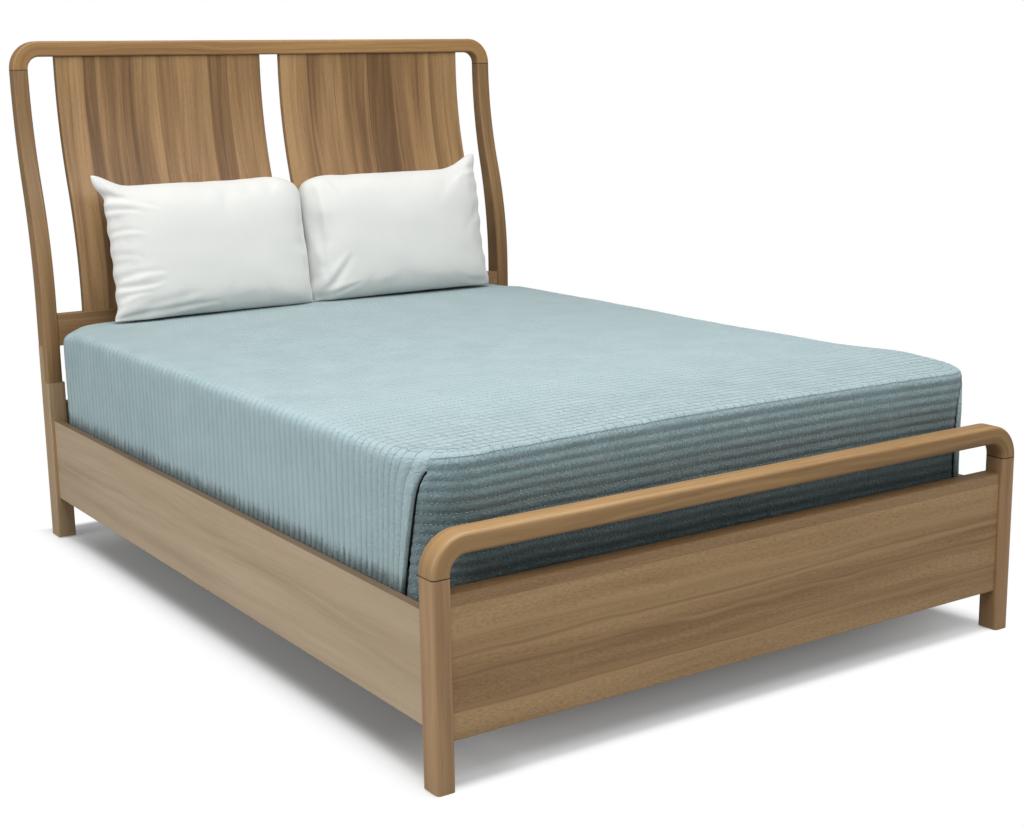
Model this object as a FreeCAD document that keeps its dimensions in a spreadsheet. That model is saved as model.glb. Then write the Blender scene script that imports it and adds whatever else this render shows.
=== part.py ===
import FreeCAD, Part
import os
import Sketcher

# A bentwood bed with its bedding, in millimetres.
# The origin is on the floor, under the middle of the overall box.
# +X is to the right for somebody who stands at the foot, +Y runs to the head, +Z is up.

# Driving sizes, one spreadsheet cell each

SIZES = {
    # the space round the mattress, which sets how wide and how long the frame is
    "mattress_side_gap": 17, "mattress_head_gap": 52,
    # foot frame, bent from one thick stock
    "foot_height": 514, "foot_seam_drop": 2.5, "foot_stock_width": 42.5, "foot_stock_depth": 57,
    "foot_bend_radius": 80, "foot_round": 9, "foot_panel_bottom": 103, "foot_panel_height": 291,
    "foot_panel_thick": 42, "foot_panel_setback": 11,
    # head frame
    "head_height": 1448, "head_lean": 100, "head_seam_drop": 2, "head_stock_width": 44,
    "head_stock_depth": 43, "head_bend_radius": 79, "head_round": 6, "head_leg_width": 51,
    "head_leg_depth": 62, "leg_round": 2.5, "lap_front_height": 470, "lap_length": 107,
    "lap_tongue": 22, "curve_start_gap": 30,
    "cross_height": 92, "cross_thick": 32, "cross_setback": 3, "cross_lap_gap": 1,
    "lower_cross_bottom": 318,
    # curved head panels
    "head_panel_inset": 127, "head_panel_gap": 70, "head_panel_thick": 22, "head_panel_setback": 8,
    "tongue_thick": 8, "tongue_length": 9, "tongue_play": 0.2,
    # side rails, ledgers and slats
    "side_rail_bottom": 124, "side_rail_height": 235, "side_rail_thick": 20, "side_rail_setback": 11,
    "ledger_width": 25, "ledger_height": 35, "ledger_end_gap": 40, "slat_width": 89, "slat_thick": 19,
    "slat_side_gap": 2, "slat_end_gap": 170, "board_round": 1.5,
    # slat legs and levellers
    "slat_leg_width": 44, "slat_leg_clearance": 24, "insert_radius": 6, "insert_length": 14,
    "stem_radius": 4, "stem_play": 0.08, "stem_length": 50, "stem_bore_spare": 4, "pad_radius": 16,
    "pad_height": 9, "pad_boss_radius": 9, "pad_boss_height": 3, "pad_floor_gap": 0.5,
    "leveller_travel": 10,
    # hook plates that join the side rails to the posts
    "plate_height": 130, "plate_width": 15, "plate_thick": 3, "plate_rise": 45, "hook_pitch": 60,
    "hook_thick": 4, "hook_reach": 9, "hook_height": 22, "hook_drop": 5, "hook_play": 1,
    # fasteners, dowels and glides
    "screw_radius": 2, "screw_head_radius": 4, "screw_head_depth": 2.4, "plate_screw_length": 28,
    "ledger_screw_length": 38, "slat_screw_length": 38, "leg_screw_length": 60, "lap_screw_length": 52,
    "screw_edge": 9, "dowel_radius": 5, "dowel_length": 44, "dowel_spread": 26, "glide_radius": 11,
    "glide_height": 4, "overrun": 5,
    # bedding
    "mattress_width": 1524, "mattress_length": 2032, "mattress_height": 219, "mattress_round": 34,
    "mattress_corner": 110,
    "bed_crown": 12, "box_spring_height": 229, "box_spring_round": 22, "soft_gap": 0.3,
    "cover_thick": 9, "cover_foot_gap": 19.5, "cover_hem_drop": 90, "cover_split_drop": 46,
    "cover_split_width": 22, "cover_slack": 0.5,
    "pillow_width": 650, "pillow_height": 428, "pillow_thick": 158, "pillow_tilt": 10.5,
    "pillow_seam": 5, "pillow_pair_gap": 1.5,
}

# Places worked out from the driving sizes, each one a formula in a second sheet

PLACES = {
    "side_rail_inner": "Sizes.mattress_width / 2 + Sizes.mattress_side_gap",
    "side_rail_outer": "side_rail_inner + Sizes.side_rail_thick",
    "half_width": "side_rail_outer + Sizes.side_rail_setback",
    "cover_lining": "Sizes.cover_thick + Sizes.cover_slack",
    "mattress_foot_gap": "Sizes.cover_foot_gap + cover_lining",
    "side_rail_length": "mattress_foot_gap + Sizes.mattress_length + Sizes.mattress_head_gap",
    "frame_depth": "Sizes.foot_stock_depth + side_rail_length",
    "total_depth": "frame_depth + Sizes.head_lean + Sizes.head_stock_depth",
    "foot_front": "-total_depth / 2",
    "foot_rear": "foot_front + Sizes.foot_stock_depth",
    "head_front": "foot_rear + side_rail_length",
    "head_leg_rear": "head_front + Sizes.head_leg_depth",
    "head_top_front": "head_front + Sizes.head_lean",
    "foot_seam": "Sizes.foot_height - Sizes.foot_bend_radius - Sizes.foot_seam_drop",
    "head_seam": "Sizes.head_height - Sizes.head_bend_radius - Sizes.head_seam_drop",
    "lap_rear_height": "Sizes.lap_front_height + Sizes.lap_length",
    "upper_cross_bottom": "lap_rear_height + Sizes.cross_lap_gap",
    "upper_cross_top": "upper_cross_bottom + Sizes.cross_height",
    "curve_start": "upper_cross_top + Sizes.curve_start_gap",
    "curve_middle": "(curve_start + head_seam) / 2",
    "curve_rise": "(head_seam - curve_start) / 2",
    "front_sweep": "Sizes.head_lean / 2",
    "rear_sweep": "(Sizes.head_lean + Sizes.head_stock_depth - Sizes.head_leg_depth) / 2",
    "front_arc": "(curve_rise * curve_rise + front_sweep * front_sweep) / (2 * front_sweep)",
    "rear_arc": "(curve_rise * curve_rise + rear_sweep * rear_sweep) / (2 * rear_sweep)",
    "foot_post_inner": "half_width - Sizes.foot_stock_width",
    "foot_post_middle": "half_width - Sizes.foot_stock_width / 2",
    "head_post_inner": "half_width - Sizes.head_stock_width",
    "head_post_middle": "half_width - Sizes.head_stock_width / 2",
    "head_leg_inner": "half_width - Sizes.head_leg_width",
    "foot_rail_under": "Sizes.foot_height - Sizes.foot_stock_width",
    "head_rail_under": "Sizes.head_height - Sizes.head_stock_width",
    "cross_front": "head_front + Sizes.cross_setback",
    "foot_panel_front": "foot_front + Sizes.foot_panel_setback",
    "side_rail_middle": "side_rail_outer - Sizes.side_rail_thick / 2",
    "ledger_top": "Sizes.side_rail_bottom + Sizes.ledger_height",
    "slat_top": "ledger_top + Sizes.slat_thick",
    "slat_half_length": "side_rail_inner - Sizes.slat_side_gap",
    "first_slat": "foot_rear + Sizes.slat_end_gap",
    "slat_run": "side_rail_length - 2 * Sizes.slat_end_gap",
    "stem_bottom": "Sizes.pad_floor_gap + Sizes.pad_height",
    "plate_bottom": "Sizes.side_rail_bottom + Sizes.plate_rise",
    "box_spring_bottom": "slat_top + Sizes.soft_gap",
    "mattress_bottom": "box_spring_bottom + Sizes.box_spring_height + Sizes.soft_gap",
    "mattress_edge_top": "mattress_bottom + Sizes.mattress_height",
    "cover_front": "foot_rear + Sizes.cover_foot_gap",
    "mattress_front": "foot_rear + mattress_foot_gap",
    "mattress_rear": "mattress_front + Sizes.mattress_length",
    "cover_half_width": "Sizes.mattress_width / 2 + cover_lining",
    "cover_edge_top": "mattress_edge_top + cover_lining",
    "cover_crown_top": "cover_edge_top + Sizes.bed_crown",
    "cover_round": "Sizes.mattress_round + cover_lining",
    "cover_corner": "Sizes.mattress_corner + cover_lining",
    "cover_hem": "mattress_bottom - Sizes.cover_hem_drop",
    "cover_split_top": "cover_edge_top - Sizes.cover_split_drop",
    "pillow_foot": "cover_crown_top + Sizes.soft_gap",
    "pillow_middle_z": "pillow_foot + Sizes.pillow_height / 2 * cos(Sizes.pillow_tilt * 1deg)",
    "pillow_middle_y": "head_front + Sizes.head_panel_setback - Sizes.pillow_thick / 2 - Sizes.pillow_seam",
    "pillow_middle_x": "(Sizes.pillow_width + Sizes.pillow_pair_gap) / 2",
}

SLAT_COUNT = 5
LEGGED_SLATS = (2, 3, 4)
LEDGER_SCREWS = 6
SIDES = (("left", -1), ("right", 1))

# Shares of a pillow's half width, thickness and height from its middle to its end
PLEAT_SHARES = (0.38, 0.68)
PILLOW_ALONG_SHARES = (0, 0.35, 0.62, 0.82, 0.93, 1)
PILLOW_THICK_SHARES = (1, 0.95, 0.78, 0.52, 0.27, 0.05)
PILLOW_HIGH_SHARES = (0.935, 0.94, 0.955, 0.975, 0.99, 1)

doc = FreeCAD.newDocument("BentwoodBed")


def fill_sheet(name, rows, lead):
    """Writes one spreadsheet with an alias for each row."""
    sheet = doc.addObject("Spreadsheet::Sheet", name)
    for row, (alias, entry) in enumerate(rows.items(), start=1):
        sheet.set(f"A{row}", alias)
        sheet.set(f"B{row}", lead + str(entry))
        sheet.setAlias(f"B{row}", alias)
    return sheet


sizes = fill_sheet("Sizes", SIZES, "")
places = fill_sheet("Places", PLACES, "=")
doc.recompute()

parts = []


def val(expression):
    """The number that an expression of the sheets gives now."""
    return float(places.evalExpression(str(expression)))


def bind(thing, **expressions):
    """Binds properties to expressions; two underscores in a name stand for a dot."""
    for name, expression in expressions.items():
        thing.setExpression(name.replace("__", "."), str(expression))


def put(thing, at):
    """Binds the place of an object."""
    for letter, expression in zip("xyz", at):
        thing.setExpression(f"Placement.Base.{letter}", str(expression))
    return thing


def keep(thing, label):
    """Marks a finished sub-part, whose label names its file."""
    thing.Label = label
    parts.append(thing)
    return thing


def block(name, size, at):
    """A plain box by its three lengths and its lowest corner."""
    box = doc.addObject("Part::Box", name)
    bind(box, Length=size[0], Width=size[1], Height=size[2])
    return put(box, at)


TURNS = {
    "x": FreeCAD.Rotation(FreeCAD.Vector(0, 1, 0), 90),
    "-x": FreeCAD.Rotation(FreeCAD.Vector(0, 1, 0), -90),
    "y": FreeCAD.Rotation(FreeCAD.Vector(1, 0, 0), -90),
    "-y": FreeCAD.Rotation(FreeCAD.Vector(1, 0, 0), 90),
    "z": FreeCAD.Rotation(),
    "-z": FreeCAD.Rotation(FreeCAD.Vector(1, 0, 0), 180),
}


def rod(name, radius, length, at, way):
    """A round bar that starts at a point and runs one way along an axis."""
    bar = doc.addObject("Part::Cylinder", name)
    bind(bar, Radius=radius, Height=length)
    bar.Placement.Rotation = TURNS[way]
    return put(bar, at)


def join(name, pieces):
    """One solid from pieces that share faces or volume."""
    fused = doc.addObject("Part::MultiFuse", name)
    fused.Shapes = list(pieces)
    return fused


def group(name, pieces):
    """Separate solids in one object."""
    bunch = doc.addObject("Part::Compound", name)
    bunch.Links = list(pieces)
    return bunch


def cut(name, base, tools):
    """A piece with its holes and recesses, one cut for each tool."""
    for number, tool in enumerate(tools, start=1):
        result = doc.addObject("Part::Cut", f"{name}_cut_{number}")
        result.Base = base
        result.Tool = tool
        base = result
    return base


def screw(name, length, at, way):
    """A countersunk screw whose flat head is at a point and whose shank runs one way."""
    head = doc.addObject("Part::Cone", name + "_head")
    bind(head, Radius1="Sizes.screw_head_radius", Radius2="Sizes.screw_radius", Height="Sizes.screw_head_depth")
    head.Placement.Rotation = TURNS[way]
    put(head, at)
    shank = rod(name + "_shank", "Sizes.screw_radius", length, at, way)
    return join(name, (head, shank))


def plane_of(body, role):
    """One of a body's own base planes."""
    return next(plane for plane in body.Origin.OriginFeatures if plane.Role == role)


def sketch_on(body, name, role, offset):
    """A sketch in a body, parallel to one of its planes."""
    sketch = body.newObject("Sketcher::SketchObject", name)
    sketch.AttachmentSupport = (plane_of(body, role), [""])
    sketch.MapMode = "FlatFace"
    sketch.setExpression("AttachmentOffset.Base.z", str(offset))
    return sketch


def pin_point(sketch, index, point, x_place, y_place):
    """Ties one end of a piece of a sketch to two expressions."""
    for kind, expression in (("DistanceX", x_place), ("DistanceY", y_place)):
        number = sketch.addConstraint(Sketcher.Constraint(kind, -1, 1, index, point, val(expression)))
        sketch.setExpression(f"Constraints[{number}]", str(expression))


def draw(sketch, outline):
    """Draws a closed outline. Each entry is (x, y) for a line on to the next point,
    or (x, y, radius, hand) for an arc, whose hand is 1 when it turns to the left."""
    count = len(outline)
    spots = [FreeCAD.Vector(val(entry[0]), val(entry[1]), 0) for entry in outline]
    for index, entry in enumerate(outline):
        start = spots[index]
        end = spots[(index + 1) % count]
        if len(entry) == 2:
            sketch.addGeometry(Part.LineSegment(start, end), False)
            continue
        radius = val(entry[2])
        half = (end - start) / 2
        across = FreeCAD.Vector(-half.y, half.x, 0).normalize() * entry[3]
        centre = start + half + across * max(radius ** 2 - half.Length ** 2, 0) ** 0.5
        top = centre - across * radius
        sketch.addGeometry(Part.Arc(start, top, end), False)
    for index, entry in enumerate(outline):
        following = (index + 1) % count
        first = 2 if len(entry) == 4 and entry[3] < 0 else 1
        pin_point(sketch, index, first, entry[0], entry[1])
        other = outline[following]
        pin_point(sketch, index, 3 - first, other[0], other[1])
        if len(entry) == 4:
            number = sketch.addConstraint(Sketcher.Constraint("Radius", index, val(entry[2])))
            sketch.setExpression(f"Constraints[{number}]", str(entry[2]))
    return sketch


def new_body(name):
    return doc.addObject("PartDesign::Body", name)


def pad(body, sketch, length):
    """Pads a sketch along its own normal."""
    feature = body.newObject("PartDesign::Pad", sketch.Name + "_pad")
    feature.Profile = sketch
    bind(feature, Length=length)
    sketch.Visibility = False
    body.Tip = feature
    doc.recompute()
    return feature


def round_edges(body, wanted, radius):
    """Rounds the edges of a body's last feature that a test picks."""
    base = body.Tip
    names = [f"Edge{i}" for i, edge in enumerate(base.Shape.Edges, start=1) if wanted(edge)]
    feature = body.newObject("PartDesign::Fillet", base.Name + "_round")
    feature.Base = (base, names)
    bind(feature, Radius=radius)
    body.Tip = feature
    doc.recompute()
    return body


def board(name, low, high, radius):
    """A straight board between two corners, with every edge rounded."""
    body = new_body(name)
    outline = [(low[0], low[1]), (high[0], low[1]), (high[0], high[1]), (low[0], high[1])]
    sketch = draw(sketch_on(body, name + "_outline", "XY_Plane", low[2]), outline)
    pad(body, sketch, f"({high[2]}) - ({low[2]})")
    return round_edges(body, lambda edge: True, radius)


def section(sketch, middle, wide, deep, radius):
    """A rectangle with round corners about a middle point."""
    left, right = f"{middle[0]} - {wide} / 2", f"{middle[0]} + {wide} / 2"
    near, far = f"{middle[1]} - {deep} / 2", f"{middle[1]} + {deep} / 2"
    return draw(sketch, [
        (f"{left} + {radius}", near), (f"{right} - {radius}", near, radius, 1),
        (right, f"{near} + {radius}"), (right, f"{far} - {radius}", radius, 1),
        (f"{right} - {radius}", far), (f"{left} + {radius}", far, radius, 1),
        (left, f"{far} - {radius}"), (left, f"{near} + {radius}", radius, 1),
    ])


def bent_rail(name, post_middle, depth_middle, seam, height, wide, deep, bend, radius):
    """A top rail bent down at both ends, swept along its own middle line."""
    body = new_body(name)
    profile = sketch_on(body, name + "_section", "XY_Plane", seam)
    section(profile, (f"-{post_middle}", depth_middle), wide, deep, radius)
    line = sketch_on(body, name + "_line", "XZ_Plane", f"-({depth_middle})")
    middle_bend = f"({bend} - {wide} / 2)"
    top = f"{height} - {wide} / 2"
    route = [
        (f"-{post_middle}", seam), (f"-{post_middle}", f"{top} - {middle_bend}", middle_bend, -1),
        (f"-{post_middle} + {middle_bend}", top),
        (f"{post_middle} - {middle_bend}", top, middle_bend, -1),
        (post_middle, f"{top} - {middle_bend}"), (post_middle, seam),
    ]
    draw(line, route)
    line.delGeometries([len(route) - 1])
    sweep = body.newObject("PartDesign::AdditivePipe", name + "_bend")
    sweep.Profile = profile
    sweep.Spine = line
    body.Tip = sweep
    doc.recompute()
    return body


# Foot frame

FOOT_MIDDLE = "(Places.foot_front + Sizes.foot_stock_depth / 2)"
for side, sign in SIDES:
    body = new_body(f"foot_post_{side}_stock")
    sketch = sketch_on(body, f"foot_post_{side}_section", "XY_Plane", "Sizes.glide_height")
    section(sketch, (f"{sign} * Places.foot_post_middle", FOOT_MIDDLE),
            "Sizes.foot_stock_width", "Sizes.foot_stock_depth", "Sizes.foot_round")
    pad(body, sketch, "Places.foot_seam - Sizes.glide_height")
bent_rail("foot_top_stock", "Places.foot_post_middle", FOOT_MIDDLE, "Places.foot_seam",
          "Sizes.foot_height", "Sizes.foot_stock_width", "Sizes.foot_stock_depth",
          "Sizes.foot_bend_radius", "Sizes.foot_round")
board("foot_panel_stock",
      ("-Places.foot_post_inner", "Places.foot_panel_front", "Sizes.foot_panel_bottom"),
      ("Places.foot_post_inner", "Places.foot_panel_front + Sizes.foot_panel_thick",
       "Sizes.foot_panel_bottom + Sizes.foot_panel_height"), "Sizes.board_round")

# Head frame


def curved_outline(front, rear, lower, upper):
    """The swept outline of a post or panel: up its front face, across, and down its rear.
    front and rear are (shift at the bottom, sweep, arc radius)."""
    shape = list(lower[0])
    shape += [
        (front[0], "Places.curve_start", front[2], -1),
        (f"{front[0]} + {front[1]}", "Places.curve_middle", front[2], 1),
        (f"{front[0]} + 2 * {front[1]}", "Places.head_seam"),
    ]
    shape += list(upper)
    shape += [
        (f"{rear[0]} + 2 * {rear[1]}", "Places.head_seam", rear[2], -1),
        (f"{rear[0]} + {rear[1]}", "Places.curve_middle", rear[2], 1),
        (rear[0], "Places.curve_start"),
    ]
    return shape + list(lower[1])


for side, sign in SIDES:
    # the leg, notched at its front for the post's tongue
    leg = new_body(f"head_leg_{side}_stock")
    inner = "Places.head_leg_inner" if sign > 0 else "-Places.half_width"
    sketch = sketch_on(leg, f"head_leg_{side}_outline", "YZ_Plane", inner)
    notch = "Places.head_front + Sizes.lap_tongue"
    draw(sketch, [
        ("Places.head_front", "Sizes.glide_height"), ("Places.head_leg_rear", "Sizes.glide_height"),
        ("Places.head_leg_rear", "Places.lap_rear_height"), (notch, "Places.lap_rear_height"),
        (notch, "Sizes.lap_front_height"), ("Places.head_front", "Sizes.lap_front_height"),
    ])
    pad(leg, sketch, "Sizes.head_leg_width")
    edge_ys = (val("Places.head_front"), val("Places.head_leg_rear"))
    round_edges(leg, lambda edge: len(edge.Vertexes) == 2
                and abs(edge.Vertexes[0].Z - edge.Vertexes[1].Z) > val("Sizes.leg_round")
                and min(abs(edge.CenterOfMass.y - y) for y in edge_ys) < val("Sizes.tongue_play"),
                "Sizes.leg_round")

    # the swept post on it
    post = new_body(f"head_post_{side}_stock")
    inner = "Places.head_post_inner" if sign > 0 else "-Places.half_width"
    sketch = sketch_on(post, f"head_post_{side}_outline", "YZ_Plane", inner)
    draw(sketch, curved_outline(
        ("Places.head_front", "Places.front_sweep", "Places.front_arc"),
        ("Places.head_leg_rear", "Places.rear_sweep", "Places.rear_arc"),
        ([("Places.head_front", "Sizes.lap_front_height")],
         [("Places.head_leg_rear", "Places.lap_rear_height"), (notch, "Places.lap_rear_height"),
          (notch, "Sizes.lap_front_height")]), []))
    pad(post, sketch, "Sizes.head_stock_width")
    round_edges(post, lambda edge: len(edge.Vertexes) == 2
                and abs(edge.Vertexes[0].Z - edge.Vertexes[1].Z) > val("Sizes.head_round")
                and abs(edge.Vertexes[0].X - edge.Vertexes[1].X) < val("Sizes.tongue_play")
                and abs(edge.CenterOfMass.y - val(notch)) > val("Sizes.tongue_play"),
                "Sizes.head_round")

HEAD_TOP_MIDDLE = "(Places.head_top_front + Sizes.head_stock_depth / 2)"
bent_rail("head_top_stock", "Places.head_post_middle", HEAD_TOP_MIDDLE, "Places.head_seam",
          "Sizes.head_height", "Sizes.head_stock_width", "Sizes.head_stock_depth",
          "Sizes.head_bend_radius", "Sizes.head_round")

for name, inner, bottom in (("upper", "Places.head_post_inner", "Places.upper_cross_bottom"),
                            ("lower", "Places.head_leg_inner", "Sizes.lower_cross_bottom")):
    board(f"head_cross_{name}_stock", (f"-{inner}", "Places.cross_front", bottom),
          (inner, "Places.cross_front + Sizes.cross_thick", f"{bottom} + Sizes.cross_height"),
          "Sizes.board_round")

# Head panels, with a tongue at the top and at the bottom

PANEL_FRONT = "(Places.head_front + Sizes.head_panel_setback)"
PANEL_REAR = f"({PANEL_FRONT} + Sizes.head_panel_thick)"
TONGUE_FRONT = f"({PANEL_FRONT} + (Sizes.head_panel_thick - Sizes.tongue_thick) / 2)"
TONGUE_REAR = f"({TONGUE_FRONT} + Sizes.tongue_thick)"
PANEL_OUTER = "(Places.half_width - Sizes.head_panel_inset)"
PANEL_INNER = "(Sizes.head_panel_gap / 2)"
for side, sign in SIDES:
    panel = new_body(f"head_panel_{side}")
    start = PANEL_INNER if sign > 0 else f"-{PANEL_OUTER}"
    sketch = sketch_on(panel, f"head_panel_{side}_outline", "YZ_Plane", start)
    top = "Places.head_rail_under"
    tip = "Places.head_rail_under + Sizes.tongue_length"
    draw(sketch, curved_outline(
        (PANEL_FRONT, "Places.front_sweep", "Places.front_arc"),
        (PANEL_REAR, "Places.front_sweep", "Places.front_arc"),
        ([(TONGUE_FRONT, "Places.upper_cross_top - Sizes.tongue_length"),
          (TONGUE_FRONT, "Places.upper_cross_top"), (PANEL_FRONT, "Places.upper_cross_top")],
         [(PANEL_REAR, "Places.upper_cross_top"), (TONGUE_REAR, "Places.upper_cross_top"),
          (TONGUE_REAR, "Places.upper_cross_top - Sizes.tongue_length")]),
        [(f"{PANEL_FRONT} + Sizes.head_lean", top), (f"{TONGUE_FRONT} + Sizes.head_lean", top),
         (f"{TONGUE_FRONT} + Sizes.head_lean", tip), (f"{TONGUE_REAR} + Sizes.head_lean", tip),
         (f"{TONGUE_REAR} + Sizes.head_lean", top), (f"{PANEL_REAR} + Sizes.head_lean", top)]))
    pad(panel, sketch, f"{PANEL_OUTER} - {PANEL_INNER}")
    round_edges(panel, lambda edge: len(edge.Vertexes) == 2
                and abs(edge.Vertexes[0].X - edge.Vertexes[1].X) < val("Sizes.tongue_play")
                and edge.Length > val("Sizes.head_panel_thick"), "Sizes.board_round")
    keep(panel, f"head_panel_{side}")

grooves = []
for name, shift, low in (("top", "Sizes.head_lean", "Places.head_rail_under - Sizes.overrun"),
                         ("bottom", "0", "Places.upper_cross_top - Sizes.tongue_length - Sizes.tongue_play")):
    for side, sign in SIDES:
        start = PANEL_INNER if sign > 0 else f"-{PANEL_OUTER}"
        grooves.append(block(
            f"groove_{name}_{side}",
            (f"{PANEL_OUTER} - {PANEL_INNER}", "Sizes.tongue_thick + 2 * Sizes.tongue_play",
             "Sizes.tongue_length + Sizes.tongue_play + Sizes.overrun"),
            (start, f"{TONGUE_FRONT} + {shift} - Sizes.tongue_play", low)))

# Dowels across the seams, which also make their own holes


def dowel_set(name, spots, way):
    """Dowels centred on the seams that they cross."""
    back = {"x": ("-Sizes.dowel_length / 2", "0", "0"), "z": ("0", "0", "-Sizes.dowel_length / 2")}[way]
    return group(name, [
        rod(f"{name}_{number}", "Sizes.dowel_radius", "Sizes.dowel_length",
            [f"{place} + {shift}" for place, shift in zip(spot, back)], way)
        for number, spot in enumerate(spots, start=1)])


foot_rail_dowels = dowel_set("foot_rail_dowels", [
    (f"{sign} * Places.foot_post_middle", f"{FOOT_MIDDLE} + {shift} * Sizes.dowel_spread / 2",
     "Places.foot_seam") for side, sign in SIDES for shift in (-1, 1)], "z")
head_rail_dowels = dowel_set("head_rail_dowels", [
    (f"{sign} * (Places.head_post_middle + {shift} * Sizes.dowel_radius * 1.6)", HEAD_TOP_MIDDLE,
     "Places.head_seam") for side, sign in SIDES for shift in (-1, 1)], "z")
foot_panel_dowels = dowel_set("foot_panel_dowels", [
    (f"{sign} * Places.foot_post_inner", "Places.foot_panel_front + Sizes.foot_panel_thick / 2",
     f"Sizes.foot_panel_bottom + Sizes.foot_panel_height * {share}")
    for side, sign in SIDES for share in (0.2, 0.5, 0.8)], "x")
cross_dowels = []
for name, inner, bottom in (("upper", "Places.head_post_inner", "Places.upper_cross_bottom"),
                            ("lower", "Places.head_leg_inner", "Sizes.lower_cross_bottom")):
    cross_dowels.append(dowel_set(f"head_{name}_dowels", [
        (f"{sign} * {inner}", "Places.cross_front + Sizes.cross_thick / 2",
         f"{bottom} + Sizes.cross_height / 2 + {shift} * Sizes.dowel_spread")
        for side, sign in SIDES for shift in (-1, 1)], "x"))
for thing in (foot_rail_dowels, head_rail_dowels, foot_panel_dowels, *cross_dowels):
    keep(thing, thing.Name)

# Screws through the lap of each head leg, driven from the rear

lap_screws = group("lap_screws", [
    screw(f"lap_screw_{side}_{number}", "Sizes.lap_screw_length",
          (f"{sign} * Places.head_post_middle", "Places.head_leg_rear",
           f"Sizes.lap_front_height + (Places.lap_rear_height - Sizes.lap_front_height) * {share}"), "-y")
    for side, sign in SIDES for number, share in enumerate((0.3, 0.7), start=1)])
keep(lap_screws, "lap_screws")

# Side rails and their hook plates

rail_pockets = {side: [] for side, sign in SIDES}
post_pockets = {(end, side): [] for end in ("foot", "head") for side, sign in SIDES}
rail_plates = {}
post_plates = {}
rail_plate_screws = []
post_plate_screws = []
PLATE_SCREWS = (("low", "Places.plate_bottom + Sizes.screw_edge"),
                ("high", "Places.plate_bottom + Sizes.plate_height - Sizes.screw_edge"))
HOOK_LEVELS = [f"(Places.plate_bottom + (Sizes.plate_height {turn} Sizes.hook_pitch) / 2)" for turn in "-+"]
for side, sign in SIDES:
    middle = f"{sign} * Places.side_rail_middle"
    near = f"{middle} - Sizes.plate_width / 2"
    for end, face, way in (("foot", "Places.foot_rear", 1), ("head", "Places.head_front", -1)):
        tag = f"{end}_{side}"
        inward = {1: "y", -1: "-y"}
        plate_y = face if way > 0 else f"{face} - Sizes.plate_thick"
        socket_y = f"{face} - Sizes.plate_thick" if way > 0 else face
        plate_size = ("Sizes.plate_width", "Sizes.plate_thick", "Sizes.plate_height")
        rail_recess = block(f"rail_plate_{tag}_body", plate_size, (near, plate_y, "Places.plate_bottom"))
        post_recess = block(f"post_plate_{tag}_body", plate_size, (near, socket_y, "Places.plate_bottom"))
        hooks = []
        slots = []
        pockets = []
        for number, level in enumerate(HOOK_LEVELS, start=1):
            hook_near = f"{middle} - Sizes.hook_thick / 2"
            slot_near = f"{hook_near} - Sizes.hook_play"
            reach_y = f"{face} - Sizes.hook_reach" if way > 0 else face
            lip_y = reach_y if way > 0 else f"{face} + Sizes.plate_thick + Sizes.hook_play"
            lip = "Sizes.hook_reach - Sizes.plate_thick - Sizes.hook_play"
            hooks.append(block(f"hook_{tag}_{number}_arm",
                               ("Sizes.hook_thick", "Sizes.hook_reach", "Sizes.hook_height"),
                               (hook_near, reach_y, level)))
            hooks.append(block(f"hook_{tag}_{number}_lip",
                               ("Sizes.hook_thick", lip, "Sizes.hook_height"),
                               (hook_near, lip_y, f"{level} - Sizes.hook_drop")))
            slot_size = ("Sizes.hook_thick + 2 * Sizes.hook_play", "Sizes.plate_thick + 2 * Sizes.overrun",
                         "Sizes.hook_height + Sizes.hook_drop + Sizes.hook_play")
            slots.append(block(f"slot_{tag}_{number}", slot_size,
                               (slot_near, f"{socket_y} - Sizes.overrun", level)))
            pocket_y = f"{face} - Sizes.hook_reach - Sizes.hook_play" if way > 0 else f"{face} - Sizes.overrun"
            pockets.append(block(
                f"pocket_{tag}_{number}",
                (slot_size[0], "Sizes.hook_reach + Sizes.hook_play + Sizes.overrun",
                 "Sizes.hook_height + 2 * Sizes.hook_drop + 2 * Sizes.hook_play"),
                (slot_near, pocket_y, f"{level} - Sizes.hook_drop - Sizes.hook_play")))
        rail_screws = [screw(f"rail_plate_screw_{tag}_{name}", "Sizes.plate_screw_length",
                             (middle, face, level), inward[way]) for name, level in PLATE_SCREWS]
        post_screws = [screw(f"post_plate_screw_{tag}_{name}", "Sizes.plate_screw_length",
                             (middle, face, level), inward[-way]) for name, level in PLATE_SCREWS]
        rail_plate_screws += rail_screws
        post_plate_screws += post_screws
        rail_plates[tag] = cut(f"rail_hook_plate_{tag}",
                               join(f"rail_plate_{tag}_hooked", [rail_recess] + hooks), rail_screws)
        post_plates[tag] = cut(f"post_slot_plate_{tag}", post_recess, slots + post_screws)
        keep(rail_plates[tag], f"rail_hook_plate_{tag}")
        keep(post_plates[tag], f"post_slot_plate_{tag}")
        rail_pockets[side] += [rail_recess] + rail_screws
        post_pockets[end, side] += [post_recess] + pockets + post_screws
keep(group("rail_plate_screws", rail_plate_screws), "rail_plate_screws")
keep(group("post_plate_screws", post_plate_screws), "post_plate_screws")

# Ledgers, slats and the legs below the middle slats

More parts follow.
